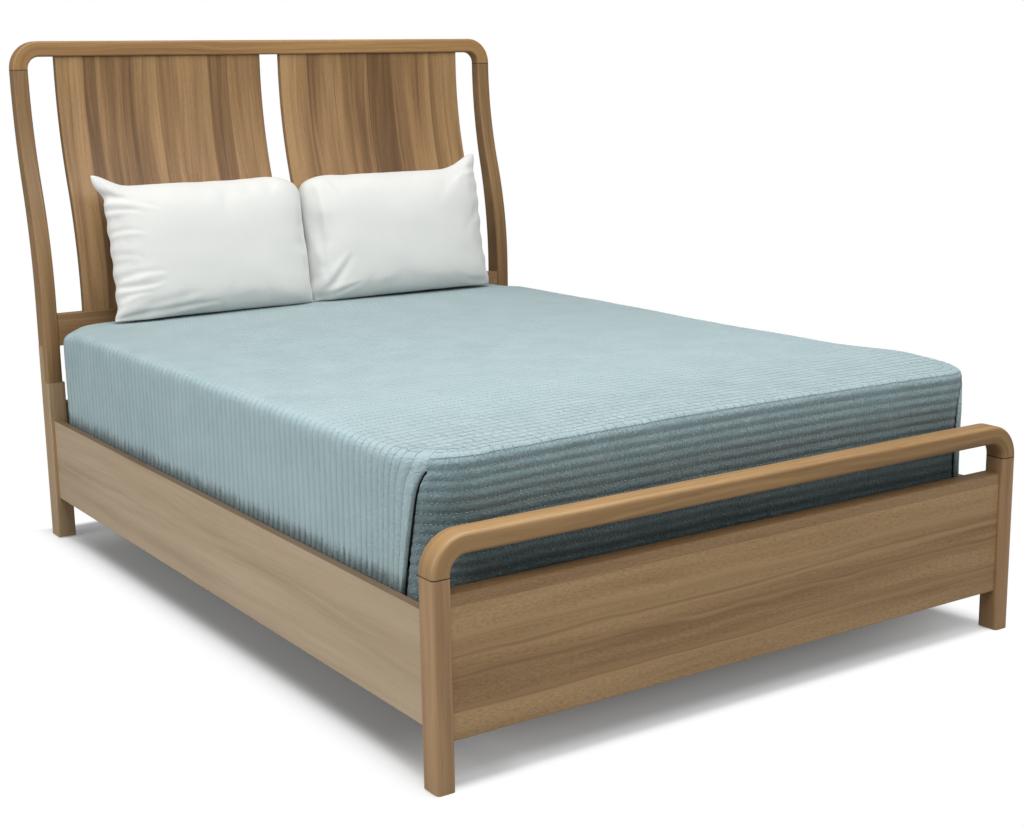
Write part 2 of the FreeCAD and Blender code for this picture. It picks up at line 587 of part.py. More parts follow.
ledger_screws = {}
ledger_stocks = {}
for side, sign in SIDES:
    inner = "Places.side_rail_inner"
    low_x = f"{inner} - Sizes.ledger_width" if sign > 0 else f"-{inner}"
    board(f"side_rail_{side}_stock",
          (inner if sign > 0 else "-Places.side_rail_outer", "Places.foot_rear", "Sizes.side_rail_bottom"),
          ("Places.side_rail_outer" if sign > 0 else f"-{inner}", "Places.head_front",
           "Sizes.side_rail_bottom + Sizes.side_rail_height"), "Sizes.board_round")
    ledger_stocks[side] = block(
        f"ledger_{side}_stock",
        ("Sizes.ledger_width", "Places.side_rail_length - 2 * Sizes.ledger_end_gap", "Sizes.ledger_height"),
        (low_x, "Places.foot_rear + Sizes.ledger_end_gap", "Sizes.side_rail_bottom"))
    ledger_screws[side] = [
        screw(f"ledger_screw_{side}_{number}", "Sizes.ledger_screw_length",
              (f"{sign} * ({inner} - Sizes.ledger_width)",
               f"Places.first_slat + Places.slat_run * {(number - 0.5) / LEDGER_SCREWS}",
               "Sizes.side_rail_bottom + Sizes.ledger_height * 0.35"), "x" if sign > 0 else "-x")
        for number in range(1, LEDGER_SCREWS + 1)]
keep(group("ledger_screws", ledger_screws["left"] + ledger_screws["right"]), "ledger_screws")

slat_screws = {side: [] for side, sign in SIDES}
slat_leg_screws = []
for number in range(1, SLAT_COUNT + 1):
    centre = f"(Places.first_slat + Places.slat_run * {(number - 1) / (SLAT_COUNT - 1)})"
    stock = board(f"slat_{number}_stock",
                  ("-Places.slat_half_length", f"{centre} - Sizes.slat_width / 2", "Places.ledger_top"),
                  ("Places.slat_half_length", f"{centre} + Sizes.slat_width / 2", "Places.slat_top"),
                  "Sizes.board_round")
    tools = []
    for side, sign in SIDES:
        one = screw(f"slat_screw_{side}_{number}", "Sizes.slat_screw_length",
                    (f"{sign} * (Places.side_rail_inner - Sizes.ledger_width / 2)", centre,
                     "Places.slat_top"), "-z")
        slat_screws[side].append(one)
        tools.append(one)
    if number in LEGGED_SLATS:
        tag = LEGGED_SLATS.index(number) + 1
        leg_screws = [screw(f"slat_leg_screw_{tag}_{name}", "Sizes.leg_screw_length",
                            (f"{shift} * Sizes.slat_leg_width / 4", centre, "Places.slat_top"), "-z")
                      for name, shift in (("left", -1), ("right", 1))]
        slat_leg_screws += leg_screws
        tools += leg_screws
        leg = block(f"slat_leg_{tag}_stock",
                    ("Sizes.slat_leg_width", "Sizes.slat_leg_width",
                     "Places.ledger_top - Sizes.slat_leg_clearance"),
                    ("-Sizes.slat_leg_width / 2", f"{centre} - Sizes.slat_leg_width / 2",
                     "Sizes.slat_leg_clearance"))
        seat = rod(f"insert_{tag}_seat", "Sizes.insert_radius", "Sizes.insert_length",
                   ("0", centre, "Sizes.slat_leg_clearance"), "z")
        bore = rod(f"stem_{tag}_bore", "Sizes.stem_radius + Sizes.stem_play",
                   "Sizes.stem_length + Sizes.leveller_travel + Sizes.stem_bore_spare",
                   ("0", centre, "Places.stem_bottom"), "z")
        keep(cut(f"slat_leg_{tag}", leg, [seat, bore] + leg_screws), f"slat_leg_{tag}")
        keep(cut(f"threaded_insert_{tag}", seat, [bore]), f"threaded_insert_{tag}")
        stem = rod(f"leveller_stem_{tag}", "Sizes.stem_radius", "Sizes.stem_length",
                   ("0", centre, "Places.stem_bottom"), "z")
        keep(stem, f"leveller_stem_{tag}")
        pad_disc = rod(f"pad_{tag}_disc", "Sizes.pad_radius", "Sizes.pad_height - Sizes.pad_boss_height",
                       ("0", centre, "Sizes.pad_floor_gap"), "z")
        pad_boss = rod(f"pad_{tag}_boss", "Sizes.pad_boss_radius", "Sizes.pad_height",
                       ("0", centre, "Sizes.pad_floor_gap"), "z")
        keep(join(f"leveller_pad_{tag}", (pad_disc, pad_boss)), f"leveller_pad_{tag}")
    keep(cut(f"slat_{number}", stock, tools), f"slat_{number}")
keep(group("slat_screws", slat_screws["left"] + slat_screws["right"]), "slat_screws")
keep(group("slat_leg_screws", slat_leg_screws), "slat_leg_screws")
for side, sign in SIDES:
    keep(cut(f"side_ledger_{side}", ledger_stocks[side], ledger_screws[side] + slat_screws[side]),
         f"side_ledger_{side}")
    rail = doc.getObject(f"side_rail_{side}_stock")
    keep(cut(f"side_rail_{side}", rail, rail_pockets[side] + ledger_screws[side]), f"side_rail_{side}")

# The drilled and recessed frame pieces

for side, sign in SIDES:
    post = doc.getObject(f"foot_post_{side}_stock")
    keep(cut(f"foot_post_{side}", post,
             [foot_rail_dowels, foot_panel_dowels] + post_pockets["foot", side]), f"foot_post_{side}")
    leg = doc.getObject(f"head_leg_{side}_stock")
    keep(cut(f"head_leg_{side}", leg, [cross_dowels[1], lap_screws] + post_pockets["head", side]),
         f"head_leg_{side}")
    post = doc.getObject(f"head_post_{side}_stock")
    keep(cut(f"head_post_{side}", post, [cross_dowels[0], head_rail_dowels, lap_screws]),
         f"head_post_{side}")
keep(cut("foot_top_rail", doc.getObject("foot_top_stock"), [foot_rail_dowels]), "foot_top_rail")
keep(cut("foot_panel", doc.getObject("foot_panel_stock"), [foot_panel_dowels]), "foot_panel")
keep(cut("head_top_rail", doc.getObject("head_top_stock"), [head_rail_dowels] + grooves[:2]),
     "head_top_rail")
keep(cut("head_cross_rail_upper", doc.getObject("head_cross_upper_stock"),
         [cross_dowels[0]] + grooves[2:]), "head_cross_rail_upper")
keep(cut("head_cross_rail_lower", doc.getObject("head_cross_lower_stock"), [cross_dowels[1]]),
     "head_cross_rail_lower")

# Nylon glides under the four posts

glide_spots = [(f"{sign} * Places.foot_post_middle", FOOT_MIDDLE) for side, sign in SIDES]
glide_spots += [(f"{sign} * (Places.half_width - Sizes.head_leg_width / 2)",
                 "Places.head_front + Sizes.head_leg_depth / 2") for side, sign in SIDES]
keep(group("floor_glides", [
    rod(f"floor_glide_{number}", "Sizes.glide_radius", "Sizes.glide_height", (x, y, "0"), "z")
    for number, (x, y) in enumerate(glide_spots, start=1)]), "floor_glides")

# Bedding

BOX_TOP = "Places.box_spring_bottom + Sizes.box_spring_height"


def block_plan(sketch, half, front, rear, corner, rear_corner):
    """A bed's plan, round at its foot corners, and at its head corners where asked."""
    outline = [
        (f"-{half} + {corner}", front), (f"{half} - {corner}", front, corner, 1),
        (half, f"{front} + {corner}"),
    ]
    if rear_corner:
        outline += [(half, f"{rear} - {corner}", corner, 1), (f"{half} - {corner}", rear),
                    (f"-{half} + {corner}", rear, corner, 1), (f"-{half}", f"{rear} - {corner}")]
    else:
        outline += [(half, rear), (f"-{half}", rear)]
    outline.append((f"-{half}", f"{front} + {corner}", corner, 1))
    return draw(sketch, outline)


def free_sketch(name, plane):
    """A sketch that stands by itself on a main plane."""
    sketch = doc.addObject("Sketcher::SketchObject", name)
    upright = FreeCAD.Rotation(FreeCAD.Vector(1, 0, 0), 90)
    if plane == "YZ":
        upright = FreeCAD.Rotation(FreeCAD.Vector(0, 0, 1), 90).multiply(upright)
    sketch.Placement.Rotation = upright
    return sketch


def drawn_out(name, sketch, way, length):
    """A solid from a sketch, drawn out along one axis."""
    solid = doc.addObject("Part::Extrusion", name)
    solid.Base = sketch
    solid.DirMode = "Custom"
    solid.Dir = way
    solid.Solid = True
    bind(solid, LengthFwd=length)
    return solid


def soft_block(name, half, front, rear, bottom, top, corner, radius, crown=None, rear_corner=True):
    """A block with round corners in plan and round top edges, crowned across where asked."""
    body = new_body(name)
    plan = sketch_on(body, f"{name}_plan", "XY_Plane", bottom)
    block_plan(plan, half, front, rear, corner, rear_corner)
    if crown is None:
        pad(body, plan, f"({top}) - ({bottom})")
    else:
        peak = f"({top} + {crown})"
        pad(body, plan, f"{peak} + Sizes.overrun - ({bottom})")
        arc = f"(({half} * {half} + {crown} * {crown}) / (2 * {crown}))"
        above = sketch_on(body, f"{name}_crown", "XZ_Plane", "0")
        draw(above, [
            (half, top, arc, 1), (f"-{half}", top), (f"-{half} - Sizes.overrun", top),
            (f"-{half} - Sizes.overrun", f"{peak} + 2 * Sizes.overrun"),
            (f"{half} + Sizes.overrun", f"{peak} + 2 * Sizes.overrun"), (f"{half} + Sizes.overrun", top),
        ])
        cap = body.newObject("PartDesign::Pocket", f"{name}_crown_cut")
        cap.Profile = above
        cap.Type = "ThroughAll"
        cap.Midplane = True
        above.Visibility = False
        body.Tip = cap
        doc.recompute()
    middle_y = (val(front) + val(rear)) / 2
    middle_z = (val(bottom) + val(top)) / 2

    def rounded(edge):
        """Top edges all round, and bottom ones of a flat block. A cut rear end stays square."""
        box = edge.BoundBox
        level = box.ZMin > middle_z or (crown is None and box.ZMax < middle_z)
        return level and (rear_corner or box.YMin < middle_y)

    return round_edges(body, rounded, radius)


keep(soft_block("box_spring", "(Sizes.mattress_width / 2)", "Places.mattress_front",
                "Places.mattress_rear", "Places.box_spring_bottom", BOX_TOP,
                "Sizes.mattress_corner", "Sizes.box_spring_round"), "box_spring")
keep(soft_block("mattress", "(Sizes.mattress_width / 2)", "Places.mattress_front",
                "Places.mattress_rear", "Places.mattress_bottom", "Places.mattress_edge_top",
                "Sizes.mattress_corner", "Sizes.mattress_round", "Sizes.bed_crown"), "mattress")
SLACK = "Sizes.cover_slack"
outer = soft_block("cover_outer", "Places.cover_half_width", "Places.cover_front",
                   "Places.mattress_rear", "Places.cover_hem", "Places.cover_edge_top",
                   "Places.cover_corner", "Places.cover_round", "Sizes.bed_crown", False)
hollow = soft_block("cover_hollow", f"(Sizes.mattress_width / 2 + {SLACK})",
                    f"(Places.mattress_front - {SLACK})", "(Places.mattress_rear + Sizes.overrun)",
                    "(Places.cover_hem - Sizes.overrun)", f"(Places.mattress_edge_top + {SLACK})",
                    f"(Sizes.mattress_corner + {SLACK})", f"(Sizes.mattress_round + {SLACK})",
                    "Sizes.bed_crown", False)
splits = []
for side, sign in SIDES:
    # the open pleat at each foot corner, a wedge on its side that widens down to the hem
    wedge = free_sketch(f"pleat_{side}_outline", "YZ")
    put(wedge, (f"{sign} * (Places.cover_half_width + Sizes.overrun)", "0", "0"))
    past = "Places.cover_hem - Sizes.overrun"
    tip, foot = (f"Places.cover_front + {share} * Places.cover_corner" for share in PLEAT_SHARES)
    draw(wedge, [(tip, "Places.cover_split_top"), (foot, past), (f"{foot} + Sizes.cover_split_width", past)])
    splits.append(drawn_out(f"pleat_{side}", wedge, FreeCAD.Vector(-sign, 0, 0),
                            "Sizes.overrun + Places.cover_round + Sizes.cover_thick"))
keep(cut("coverlet", outer, [hollow] + splits), "coverlet")

for side, sign in SIDES:
    sections = []
    stations = list(zip(PILLOW_ALONG_SHARES, PILLOW_THICK_SHARES, PILLOW_HIGH_SHARES))
    ordered = [(-a, thick, high) for a, thick, high in stations[:0:-1]] + stations
    for number, (along, thick, high) in enumerate(ordered, start=1):
        lens = free_sketch(f"pillow_{side}_lens_{number}", "YZ")
        put(lens, (f"Sizes.pillow_width / 2 * {along}", "0", "0"))
        half = f"(Sizes.pillow_height / 2 * {high})"
        bulge = f"(Sizes.pillow_thick / 2 * {thick})"
        arc = f"(({half} * {half} + {bulge} * {bulge}) / (2 * {bulge}))"
        draw(lens, [("0", f"-{half}", arc, 1), ("0", half, arc, 1)])
        sections.append(lens)
    pillow = doc.addObject("Part::Loft", f"pillow_{side}")
    pillow.Sections = sections
    pillow.Solid = True
    pillow.Ruled = False
    put(pillow, (f"{sign} * Places.pillow_middle_x", "Places.pillow_middle_y", "Places.pillow_middle_z"))
    pillow.Placement.Rotation = FreeCAD.Rotation(FreeCAD.Vector(1, 0, 0), -val("Sizes.pillow_tilt"))
    keep(pillow, f"pillow_{side}")

doc.recompute()

# Every object has to be sound before anything is written

for thing in doc.Objects:
    if "Invalid" in thing.State or "Error" in thing.State:
        raise RuntimeError(f"{thing.Name} failed: {thing.State}")
for thing in parts:
    if thing.Shape.isNull() or not thing.Shape.isValid() or not thing.Shape.Solids:
        raise RuntimeError(f"{thing.Label} has no sound solid")

os.makedirs("parts", exist_ok=True)
for thing in parts:
    thing.Shape.exportStep(f"parts/{thing.Label}.step")
    print(f"{thing.Label}: {len(thing.Shape.Solids)} solids, {thing.Shape.Volume:.0f} mm3")
box = parts[0].Shape.BoundBox
for thing in parts[1:]:
    box.add(thing.Shape.BoundBox)
print(f"{len(parts)} sub-parts, box {box.XMin:.2f} {box.XMax:.2f} {box.YMin:.2f} {box.YMax:.2f}"
      f" {box.ZMin:.2f} {box.ZMax:.2f}")
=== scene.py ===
"""The looks of a dressed bentwood bed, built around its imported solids.

The timber pieces keep their solids and get procedural wood. The box spring, the mattress, the
quilted coverlet and the two pillows are modelled here, over the solids that they stand for.
"""
import logging
import math
from collections.abc import Callable, Sequence
from dataclasses import dataclass, field, replace
from enum import Enum

import bmesh
import bpy
import numpy as np
from mathutils import Matrix, Vector, noise


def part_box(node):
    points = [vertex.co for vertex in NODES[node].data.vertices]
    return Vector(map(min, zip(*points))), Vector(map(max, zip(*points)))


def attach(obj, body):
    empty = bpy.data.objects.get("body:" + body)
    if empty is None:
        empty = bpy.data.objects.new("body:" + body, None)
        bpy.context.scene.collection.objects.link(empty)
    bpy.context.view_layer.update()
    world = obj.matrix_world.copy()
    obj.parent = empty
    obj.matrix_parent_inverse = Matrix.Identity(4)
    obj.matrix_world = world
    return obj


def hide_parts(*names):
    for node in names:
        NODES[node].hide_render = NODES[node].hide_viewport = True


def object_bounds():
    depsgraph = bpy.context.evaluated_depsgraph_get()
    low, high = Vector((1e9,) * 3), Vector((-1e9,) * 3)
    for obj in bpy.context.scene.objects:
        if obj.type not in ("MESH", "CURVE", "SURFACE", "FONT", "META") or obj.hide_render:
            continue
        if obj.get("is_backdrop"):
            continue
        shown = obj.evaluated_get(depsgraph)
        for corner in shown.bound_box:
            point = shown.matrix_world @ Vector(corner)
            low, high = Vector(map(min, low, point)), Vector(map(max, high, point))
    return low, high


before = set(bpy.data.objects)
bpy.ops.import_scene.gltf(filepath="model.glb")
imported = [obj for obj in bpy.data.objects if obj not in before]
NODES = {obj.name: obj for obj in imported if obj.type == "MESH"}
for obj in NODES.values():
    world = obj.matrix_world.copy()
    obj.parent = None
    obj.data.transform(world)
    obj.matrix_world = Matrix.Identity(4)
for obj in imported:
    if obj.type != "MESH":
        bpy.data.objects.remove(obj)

Colour = tuple[float, float, float, float]
Place = tuple[float, float, float]

LOG = logging.getLogger("bed")
MM = 0.001
PHOTO_WIDTH = 1024
SENSOR_WIDTH = 36.0
PORE_SHADE = (0.52, 0.45, 0.38, 1.0)
EDGING_SHADE = (0.78, 0.76, 0.75, 1.0)
# Painted shade on the top face of a wood's top strip.
PAINTED_STRIP_TOP_SHADE = (0.66, 0.60, 0.55, 1.0)
# Painted shade on a top face at a wood's cap height.
PAINTED_CAP_SHADE = (0.44, 0.39, 0.36, 1.0)
SEAM_COLOUR = (0.02, 0.012, 0.006, 1.0)
BOARD_SHIFT = 43.0


def paint(red: int, green: int, blue: int) -> Colour:
    """Turns a colour on the usual 0 to 255 scale into the linear one that shaders take.

    Args:
        red: Red share, 0 to 255.
        green: Green share, 0 to 255.
        blue: Blue share, 0 to 255.

    Returns:
        The linear colour with full opacity.
    """
    shares = [value / 255 for value in (red, green, blue)]
    linear = [s / 12.92 if s <= 0.04045 else ((s + 0.055) / 1.055) ** 2.4 for s in shares]
    return (*linear, 1.0)


class Value:
    """A value in a node tree that takes the usual operators."""

    def __init__(self, tree: "Tree", socket: bpy.types.NodeSocket) -> None:
        """Keeps the tree and the socket that gives the value."""
        self.tree = tree
        self.socket = socket

    def __add__(self, other: object) -> "Value":
        """The sum as a new node."""
        return self.tree.maths("ADD", self, other)

    def __sub__(self, other: object) -> "Value":
        """The difference as a new node."""
        return self.tree.maths("SUBTRACT", self, other)

    def __rsub__(self, other: object) -> "Value":
        """The difference from a plain number as a new node."""
        return self.tree.maths("SUBTRACT", other, self)

    def __mul__(self, other: object) -> "Value":
        """The product as a new node."""
        return self.tree.maths("MULTIPLY", self, other)

    def __abs__(self) -> "Value":
        """The size without its sign as a new node."""
        return self.tree.maths("ABSOLUTE", self)


class Tree:
    """A node tree with short calls for the nodes that the finishes and the studio use."""

    def __init__(self, tree: bpy.types.NodeTree) -> None:
        """Empties the tree and keeps it."""
        self.tree = tree
        tree.nodes.clear()

    def add(self, kind: str, **settings: object) -> bpy.types.Node:
        """Adds a node and sets its own properties."""
        node = self.tree.nodes.new(kind)
        for key, value in settings.items():
            setattr(node, key, value)
        return node

    def feed(self, socket: bpy.types.NodeSocket, value: object) -> None:
        """Links a socket, or sets its value where there is nothing to link."""
        source = value.socket if isinstance(value, Value) else value
        if isinstance(source, bpy.types.NodeSocket):
            self.tree.links.new(source, socket)
        else:
            socket.default_value = source

    def node(self, kind: str, values: dict[int | str, object], output: int = 0, **settings: object) -> Value:
        """Adds a node and feeds its inputs.

        Args:
            kind: The node's type.
            values: What its inputs take, by their index or name.
            output: Which output is wanted.
            settings: The node's own properties.

        Returns:
            The output's value.
        """
        node = self.add(kind, **settings)
        for key, value in values.items():
            self.feed(node.inputs[key], value)
        return Value(self, node.outputs[output])

    def maths(self, operation: str, *values: object) -> Value:
        """One math node over up to three values."""
        return self.node("ShaderNodeMath", dict(enumerate(values)), operation=operation)

    def join(self, x: object, y: object, z: object) -> Value:
        """A vector from three values."""
        return self.node("ShaderNodeCombineXYZ", {0: x, 1: y, 2: z})

    def grey(self, level: object) -> Value:
        """The same value three times, as a colour."""
        return self.join(level, level, level)

    def split(self, vector: Value) -> list[Value]:
        """The three parts of a vector."""
        node = self.add("ShaderNodeSeparateXYZ")
        self.feed(node.inputs[0], vector)
        return [Value(self, part) for part in node.outputs]

    def spot(self, name: str) -> Value:
        """Texture coordinates: Object in metres in the bed's own frame, or UV."""
        return Value(self, self.add("ShaderNodeTexCoord").outputs[name])

    def noise(self, vector: Value, scale: float | Place, detail: float = 2.0, rough: float = 0.5,
              warp: float = 0.0, shift: Place = (0.0, 0.0, 0.0)) -> Value:
        """A noise texture's value, 0 to 1, on coordinates that are scaled and then moved."""
        scale = scale if isinstance(scale, tuple) else (scale, scale, scale)
        moved = self.node("ShaderNodeMapping", {"Vector": vector, "Scale": scale, "Location": shift})
        return self.node("ShaderNodeTexNoise", {"Vector": moved, "Scale": 1.0, "Detail": detail,
                                                "Roughness": rough, "Distortion": warp})

    def span(self, value: object, low: float, high: float, start: float = 0.0, end: float = 1.0) -> Value:
        """Maps a value smoothly from one range to another, clamped."""
        return self.node("ShaderNodeMapRange", dict(enumerate((value, low, high, start, end))),
                         interpolation_type="SMOOTHSTEP")

    def ramp(self, value: Value, colours: Sequence[Colour]) -> Value:
        """A colour ramp over a value, with its stops evenly spaced."""
        node = self.add("ShaderNodeValToRGB")
        self.feed(node.inputs[0], value)
        bar = node.color_ramp.elements
        while len(bar) < len(colours):
            bar.new(1.0)
        for index, (element, colour) in enumerate(zip(bar, colours)):
            element.position = index / (len(colours) - 1)
            element.color = colour
        return Value(self, node.outputs[0])

    def mix(self, share: object, first: object, second: object, kind: str = "MIX") -> Value:
        """Mixes two colours by a share."""
        return self.node("ShaderNodeMix", {0: share, 6: first, 7: second},
                         2, data_type="RGBA", blend_type=kind)

    def tint(self, colour: object, factor: object) -> Value:
        """A colour times another."""
        return self.mix(1.0, colour, factor, "MULTIPLY")


class Shade(Tree):
    """A material with a principled surface."""

    def __init__(self, name: str) -> None:
        """Starts the material."""
        self.material = bpy.data.materials.new(name)
        self.material.use_nodes = True
        super().__init__(self.material.node_tree)
        self.out = self.add("ShaderNodeOutputMaterial")
        self.surface = self.add("ShaderNodeBsdfPrincipled")
        self.feed(self.out.inputs["Surface"], self.surface.outputs[0])

    def relief(self, height: Value, depth: float, strength: float = 1.0) -> None:
        """Adds a bump of a real depth to the surface, over any bump that is there."""
        values = {"Strength": strength, "Distance": depth, "Height": height}
        links = self.surface.inputs["Normal"].links
        if links:
            values["Normal"] = links[0].from_socket
        self.feed(self.surface.inputs["Normal"], self.node("ShaderNodeBump", values))

    def coat(self, **values: object) -> bpy.types.Material:
        """Feeds the surface's inputs, named with underscores for spaces, and gives the material."""
        for name, value in values.items():
            self.feed(self.surface.inputs[name.replace("_", " ")], value)
        return self.material


class Run(Enum):
    """Which way the grain of a piece runs."""

    ACROSS_BED = "x"
    ALONG_BED = "y"
    UPRIGHT = "z"
    BENT = "bent"


@dataclass(frozen=True)
class Bend:
    """Where a bent top rail turns down: the bend's centre and its middle radius."""

    centre_x: float
    centre_z: float
    radius: float


@dataclass(frozen=True)
class Wood:
    """A satin lacquered timber: its colours, its figure and how strongly that shows.

    boards holds the far edge and the tone of each board, strip the heights of a top strip whose top face gets
    painted shade, cap the height of a top face that gets painted shade, and through how much the grain varies
    in depth.
    """

    name: str
    dark: Colour
    middle: Colour
    light: Colour
    figure: float = 1.0
    gloss: float = 0.42
    boards: tuple[tuple[float, float], ...] = ()
    blend_width: float = 0.004
    through: float = 1.0
    fleck: float = 0.0
    seams: tuple[float, ...] = ()
    strip: tuple[float, float] | None = None
    cap: float = 0.0
    streaks: float = 0.52
    speckle: float = 14.0
    pores: float = 0.62
    seed: float = 0.0

    def grain_space(self, shade: Shade, run: Run, bend: Bend | None) -> Value:
        """Coordinates whose X runs with the grain.

        Args:
            shade: The material being built.
            run: Which way the grain runs.
            bend: The bend to follow, where the piece is bent.

        Returns:
            A vector in metres.
        """
        x, y, z = shade.split(shade.spot("Object"))
        if run is Run.ACROSS_BED:
            return shade.join(x, z, y)
        if run is Run.ALONG_BED:
            return shade.join(y, z, x)
        if run is Run.UPRIGHT:
            return shade.join(z, x, y * self.through)
        rise = z - bend.centre_z
        beyond = shade.maths("MAXIMUM", abs(x) - bend.centre_x, 0.0)
        above = shade.maths("MAXIMUM", rise, 0.0)
        level = shade.maths("MINIMUM", abs(x), bend.centre_x)
        along = shade.maths("ARCTAN2", beyond, above) * bend.radius + level
        along = (along - shade.maths("MINIMUM", rise, 0.0)) * shade.maths("SIGN", x)
        return shade.join(along, shade.maths("SQRT", beyond * beyond + above * above), y)

    def board_tone(self, shade: Shade, grain: Value) -> Value:
        """How light each board is, with soft and slightly wavy edges between the boards.

        Args:
            shade: The material being built.
            grain: Coordinates whose X runs with the grain and whose Y runs across the boards.

        Returns:
            A value that is added to the figure.
        """
        drift = shade.noise(grain, (2.5, 9.0, 9.0))
        across = (drift - 0.5) * (4 * self.blend_width) + shade.split(grain)[1]
        total: object = self.boards[0][1]
        for (edge, tone), (_, after) in zip(self.boards, self.boards[1:]):
            step = shade.span(across, edge - self.blend_width, edge + self.blend_width, 0.0, after - tone)
            total = step + total
        return total

    def trim(self, shade: Shade, colour: Value) -> Value:
        """Adds the top strip with painted shade on its top face, painted shade on a capped top face, and the
        seam lines, each at its height.
        """
        level = shade.split(shade.spot("Object"))[2]
        if self.strip:
            rise = level - self.strip[0]
            colour = shade.mix(shade.span(rise, -0.0003, 0.0003), colour, shade.tint(colour, EDGING_SHADE))
            # Painted shade: the strip's top face is darkened to stand in for the shade under the rail and the
            # coverlet.
            crown = shade.span(level, self.strip[1] - 0.0022, self.strip[1] - 0.0008)
            colour = shade.mix(crown, colour, shade.tint(colour, PAINTED_STRIP_TOP_SHADE))
            colour = shade.mix(shade.span(abs(rise), 0.0004, 0.0016, 0.3, 0.0), colour, self.dark)
        # Painted shade: the top face at the cap's height is darkened to stand in for the shade it lies in.
        if self.cap:
            top = shade.span(level, self.cap - 0.0018, self.cap - 0.0006)
            colour = shade.mix(top, colour, shade.tint(colour, PAINTED_CAP_SHADE))
        for seam in self.seams:
            line = shade.span(abs(level - seam), 0.0006, 0.0017, 1.0, 0.0)
            colour = shade.mix(line, colour, SEAM_COLOUR)
        return colour

    def make(self, run: Run, bend: Bend | None = None) -> bpy.types.Material:
        """Builds the material.

        Args:
            run: Which way the grain runs.
            bend: The bend to follow, where the piece is bent.

        Returns:
            The finished material.
        """
        shade = Shade(self.name)
        grain = self.grain_space(shade, run, bend)
        tone: object = 0.0
        x, y, z = shade.split(grain)
        if self.boards:
            tone = self.board_tone(shade, grain)
            x = x + tone * BOARD_SHIFT
            grain = shade.join(x, y, z)
        start = (self.seed * 3.1, self.seed * 1.7, self.seed * 0.9)
        sway = shade.noise(grain, (1.6, 7.0, 7.0), shift=start)
        bowed = shade.join(x, sway * 0.055 + y, z)
        broad = shade.noise(bowed, (0.9, 16.0, 16.0), 3.0, 0.55, shift=start)
        rings = shade.noise(bowed, (2.2, 105.0, 60.0), 5.0, 0.62, shift=start)
        fine = shade.noise(grain, (self.speckle, 420.0, 300.0), 3.0, 0.6, shift=start)
        figure = rings * self.streaks + broad * (1 - self.streaks) + tone
        half = 0.20 / max(self.figure, 0.2)
        colour = shade.ramp(shade.span(figure, 0.5 - half, 0.5 + half), (self.dark, self.middle, self.light))
        pores = shade.span(fine, 0.60, 0.72)
        colour = shade.mix(pores * (self.pores * self.figure), colour, shade.tint(colour, PORE_SHADE))
        if self.fleck:
            fleck = shade.noise(grain, (85.0, 250.0, 200.0), 3.0, 0.65, shift=start)
            level = shade.span(fleck, 0.36, 0.62, 1 - self.fleck, 1 + self.fleck)
            colour = shade.tint(colour, shade.grey(level))
        shade.relief(rings - pores * 0.8, 0.00035, 0.55)
        return shade.coat(Base_Color=self.trim(shade, colour), Specular_IOR_Level=0.42,
                          Roughness=shade.span(rings, 0.3, 0.7, self.gloss + 0.07, self.gloss))


@dataclass(frozen=True)
class Metal:
    """A plated steel with fine brushing."""

    name: str
    colour: Colour
    rough: float = 0.38
    dulled: Colour = (0.72, 0.70, 0.66, 1.0)

    def make(self) -> bpy.types.Material:
        """Builds the material."""
        shade = Shade(self.name)
        place = shade.spot("Object")
        streak = shade.noise(place, (90.0, 90.0, 900.0), 3.0)
        patch = shade.noise(place, 60.0, 3.0)
        shade.relief(streak, 0.00005, 0.6)
        return shade.coat(Base_Color=shade.mix(patch, self.colour, shade.tint(self.colour, self.dulled)),
                          Roughness=shade.span(streak, 0.3, 0.7, self.rough - 0.08, self.rough + 0.1),
                          Metallic=1.0)


@dataclass(frozen=True)
class Moulding:
    """A moulded plastic with a fine spark texture."""

    name: str
    colour: Colour
    scuffed: Colour = (1.5, 1.5, 1.5, 1.0)

    def make(self) -> bpy.types.Material:
        """Builds the material."""
        shade = Shade(self.name)
        place = shade.spot("Object")
        spark = shade.noise(place, 1500.0)
        shade.relief(spark, 0.0001, 0.5)
        patch = shade.noise(place, 45.0)
        return shade.coat(Base_Color=shade.mix(patch, self.colour, shade.tint(self.colour, self.scuffed)),
                          Roughness=shade.span(spark, 0.3, 0.7, 0.5, 0.68))


@dataclass(frozen=True)
class Cloth:
    """A woven cloth: its colour, its thread count and its sheen."""

    name: str
    colour: Colour
    shadow: Colour
    thread: float = 0.0011
    crinkle: float = 0.0
    woven_on: str = "Object"

    def make(self) -> bpy.types.Material:
        """Builds the material."""
        shade = Shade(self.name)
        spot = shade.spot(self.woven_on)
        thread = 2 * math.pi / self.thread
        x, y, z = shade.split(spot)
        weave = shade.maths("SINE", x * thread) * shade.maths("SINE", (y + z) * thread) * 0.5 + 0.5
        cloud = shade.noise(spot, 9.0, 3.0)
        slub = shade.noise(spot, (40.0, 900.0, 900.0))
        colour = shade.mix(shade.span(cloud * 0.6 + slub * 0.4, 0.35, 0.65), self.shadow, self.colour)
        shade.relief(weave, 0.00025, 0.35)
        if self.crinkle:
            shade.relief(shade.noise(spot, (95.0, 42.0, 42.0), 4.0, 0.6, 0.4), self.crinkle, 0.8)
        return shade.coat(Base_Color=self.work(shade, spot, colour), Specular_IOR_Level=0.2,
                          Roughness=shade.span(weave, 0.0, 1.0, 0.82, 0.94),
                          Sheen_Weight=0.25, Sheen_Roughness=0.5)

    def work(self, shade: Shade, spot: Value, colour: Value) -> Value:
        """What is worked into the cloth after weaving; a plain cloth has nothing."""
        return colour


